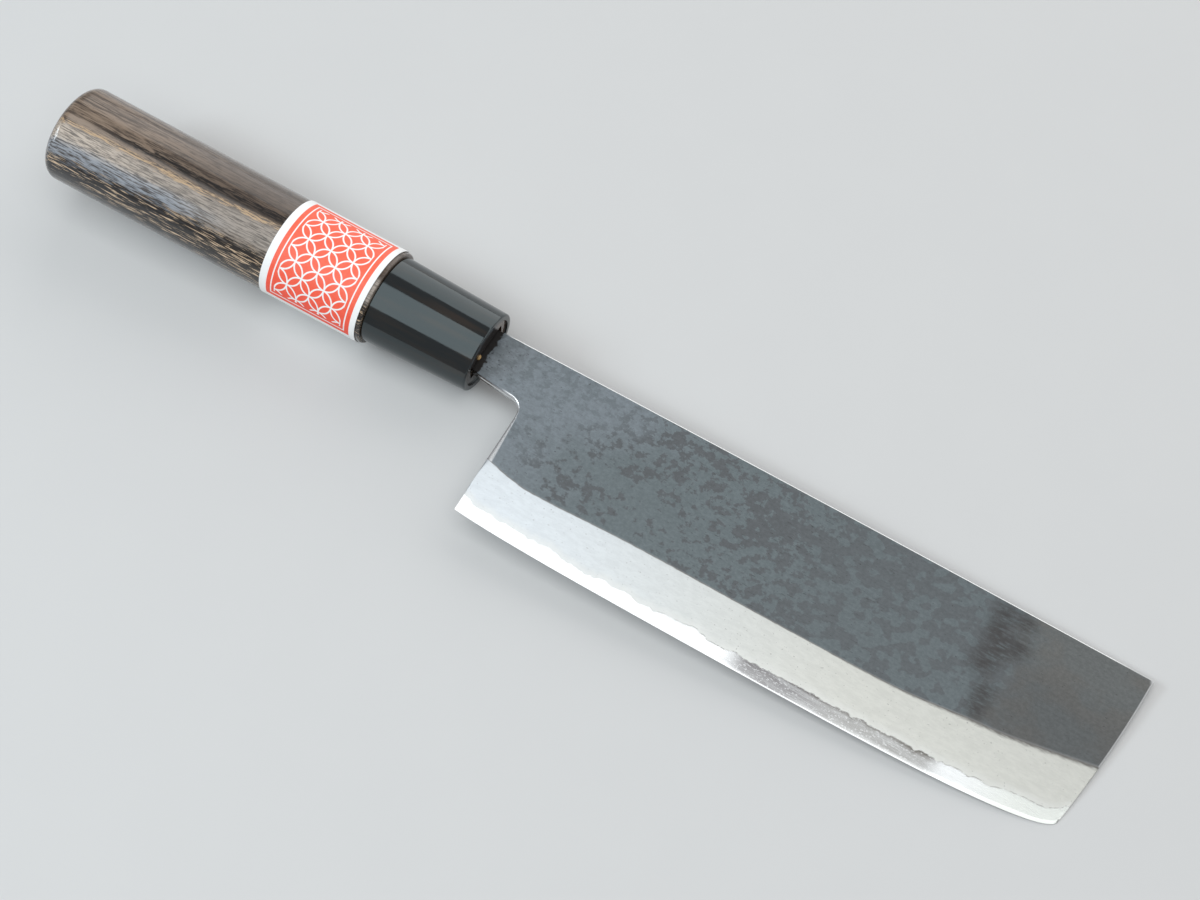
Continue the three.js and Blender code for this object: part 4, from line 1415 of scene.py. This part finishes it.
def circle_lines():
    """Interlocking circles: two square grids of circles, one set into the gaps of the other."""
    folded = [paper.calc("PINGPONG", at, CIRCLE_RADIUS) for at in (round_at, along_at)]
    other = [paper.minus(CIRCLE_RADIUS, at) for at in folded]
    inked = []
    for a, b in (folded, other):
        spot = paper.add("CombineXYZ", {0: a, 1: b}).outputs[0]
        away = paper.add("VectorMath", {0: spot}, operation="LENGTH").outputs["Value"]
        inked.append(printed_line(paper.minus(away, CIRCLE_RADIUS), CIRCLE_LINE))
    return paper.calc("MAXIMUM", *inked)


field = paper.ease(inside(0), -INK_EDGE, INK_EDGE)
pattern = paper.times(circle_lines(), paper.ease(inside(PATTERN_IN), -INK_EDGE, INK_EDGE))
white = paper.calc("MAXIMUM", printed_line(inside(KEYLINE_IN), KEYLINE_WIDTH), pattern)
red_share = paper.times(field, paper.minus(1.0, white))
print("The printed field is", 2 * FIELD_HALF[0], "by", 2 * FIELD_HALF[1], "mm")

# %% [markdown]
# Ink on rough paper is never even: a fine noise lets it go pale here and there. The paper itself
# has a soft fibre relief, much too fine to see as bumps, but it dulls the shine.

# %% Ink and paper
PRINT_RED_PAINTED_SHEEN = (0.97, 0.130, 0.066)
PRINT_DEEP = (0.96, 0.074, 0.034)
PRINT_PALE = (0.97, 0.20, 0.13)
PAPER_WHITE = (0.95, 0.955, 0.95)
DEEP_ROUND = (1, 17)
INK_GRAIN = 0.6
PAPER_FIBRES = (0.5, 0.25, 0.25)
FIBRE_DEPTH = 0.012

# Towards the top the red is painted paler, a painted sheen of the print's gloss.
ink = paper.mix(paper.ease(round_at, *DEEP_ROUND), PRINT_RED_PAINTED_SHEEN, PRINT_DEEP)
ink = paper.mix(paper.ease(paper.grain(INK_GRAIN, detail=3), 0.3, 0.7, 0, 0.3), ink, PRINT_PALE)
paper.set(Base_Color=paper.mix(red_share, PAPER_WHITE, ink))
paper.relief(paper.grain(PAPER_FIBRES, detail=3), FIBRE_DEPTH)
dress(band, paper)

# %% [markdown]
# ## Resin
# Old resin is nearly black and half shiny, with a drop of clear amber here and there. One noise is
# enough for its lumps: it drives colour, roughness and relief together, so that they agree.

# %% Dark resin
RESIN_BLACK = (0.014, 0.010, 0.008)
RESIN_BROWN = (0.045, 0.030, 0.020)
AMBER = (0.55, 0.34, 0.12)
AMBER_REACH = 2.0
LUMP_SIZE = 0.7
LUMP_DEPTH = 0.12

sealed = Finish("set_resin", Coat_Weight=0.3, Coat_Roughness=0.2)
lumps = sealed.grain(LUMP_SIZE, detail=4, rough=0.6)
colour = sealed.mix(sealed.ease(lumps, 0.4, 0.7), RESIN_BLACK, RESIN_BROWN)
sealed.set(Base_Color=sealed.mix(sealed.near(DROP_AT, AMBER_REACH), colour, AMBER))
sealed.set(Roughness=sealed.ease(lumps, 0.3, 0.7, 0.25, 0.55))
sealed.relief(lumps, LUMP_DEPTH)
dress(resin, sealed)

# %% [markdown]
# ## Table and light
# The knife lies on a plain pale table under two large soft lamps, as on a product table: one over
# the shoulder of the camera, one on the far side. A small bright window at the butt and a dim lamp
# at the tip draw the lines on turned edges. The dim, even room around them fills the shadows.
# The lamps are set so that a colour on the table comes out about as written.

# %% Table and lamps
TABLE_SIZE = 6.0
TABLE_PALE = (0.62, 0.62, 0.615)
TABLE_GREY = (0.58, 0.58, 0.58)
TABLE_GRAINS = 40.0
ROOM = (0.30, 0.303, 0.31)
# Name, place and size in metres, radiance and colour of each lamp.
LAMPS = (
    ("near_lamp", (0.0, -0.25, 0.97), (1.5, 1.08), 1.4, (0.96, 0.99, 1.0)),
    ("far_lamp", (0.097, 0.972, 0.471), (1.6, 0.99), 1.2, (1.0, 0.99, 0.98)),
    ("left_window", (-0.96, -0.5, 0.74), (0.57, 0.35), 10.0, (0.82, 0.93, 1.0)),
    ("right_lamp", (1.2, 0.5, 0.34), (0.7, 0.5), 1.5, (1.0, 1.0, 1.0)),
)

bpy.ops.mesh.primitive_plane_add(size=TABLE_SIZE)
table = bpy.context.object
table.name = "table"
table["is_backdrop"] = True
top = Finish("pale_table", Roughness=0.6)
top_place = top.add("TexCoord", {}).outputs["Object"]
top_noise = {"Vector": top_place, "Scale": TABLE_GRAINS, "Detail": 4.0}
top_grain = top.add("TexNoise", top_noise).outputs["Fac"]
top.set(Base_Color=top.mix(top.ease(top_grain, 0.3, 0.7, 0, 0.12), TABLE_PALE, TABLE_GREY))
dress(table, top)

scene.world = bpy.data.worlds.new("room")
scene.world.use_nodes = True
scene.world.node_tree.nodes["Background"].inputs["Color"].default_value = (*ROOM, 1)


def soft_lamp(name, place, size, radiance, colour):
    """A large soft lamp that faces the knife. Its power follows from how bright its face is."""
    lamp = bpy.data.lights.new(name, "AREA")
    lamp.shape = "RECTANGLE"
    lamp.size, lamp.size_y = size
    lamp.energy = radiance * math.pi * size[0] * size[1]
    lamp.color = colour
    holder = bpy.data.objects.new(name, lamp)
    holder.location = place
    holder.rotation_euler = (-Vector(place)).to_track_quat("-Z", "Y").to_euler()
    scene.collection.objects.link(holder)
    print(name, "gives", round(lamp.energy, 2), "W")


for lamp in LAMPS:
    soft_lamp(*lamp)

# %% [markdown]
# ## Camera
# The camera looks down steeply from the side of the edge, with a long lens from just over half a
# metre. It could be dragged into place, but two angles and a distance from a point on the knife
# say where it stands and are easy to change. The plain view transform keeps colours as they are.

# %% Camera
CAMERA_AZIMUTH = math.radians(30.20)
CAMERA_ELEVATION = math.radians(62.157)
CAMERA_DISTANCE = 567.78 * MM
LOOKED_AT = Vector((10.24, 9.337, 0.3)) * MM
LENS = 66.0
SENSOR = 36.0

level = math.cos(CAMERA_ELEVATION)
look = Vector((
    -math.sin(CAMERA_AZIMUTH) * level,
    math.cos(CAMERA_AZIMUTH) * level,
    -math.sin(CAMERA_ELEVATION),
))
camera = bpy.data.objects.new("camera", bpy.data.cameras.new("camera"))
camera.data.lens = LENS
camera.data.sensor_width = SENSOR
camera.location = LOOKED_AT - look * CAMERA_DISTANCE
camera.rotation_euler = look.to_track_quat("-Z", "Y").to_euler()
scene.collection.objects.link(camera)
scene.camera = camera
scene.view_settings.view_transform = "Standard"
print("Camera stands at", [round(c / MM) for c in camera.location], "mm")

# %% [markdown]
# ## Measure and finish
# The dressed knife has to be as large as the CAD knife. The sizes of both boxes are printed in
# millimetres, so that they can be compared.

# %% Compare the boxes
visual_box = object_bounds()
boxes = {"cad": [list(c) for c in cad_box], "visual": [list(c) for c in visual_box]}
for name, (low, high) in boxes.items():
    print(name, [round((b - a) / MM, 2) for a, b in zip(low, high)], "mm")
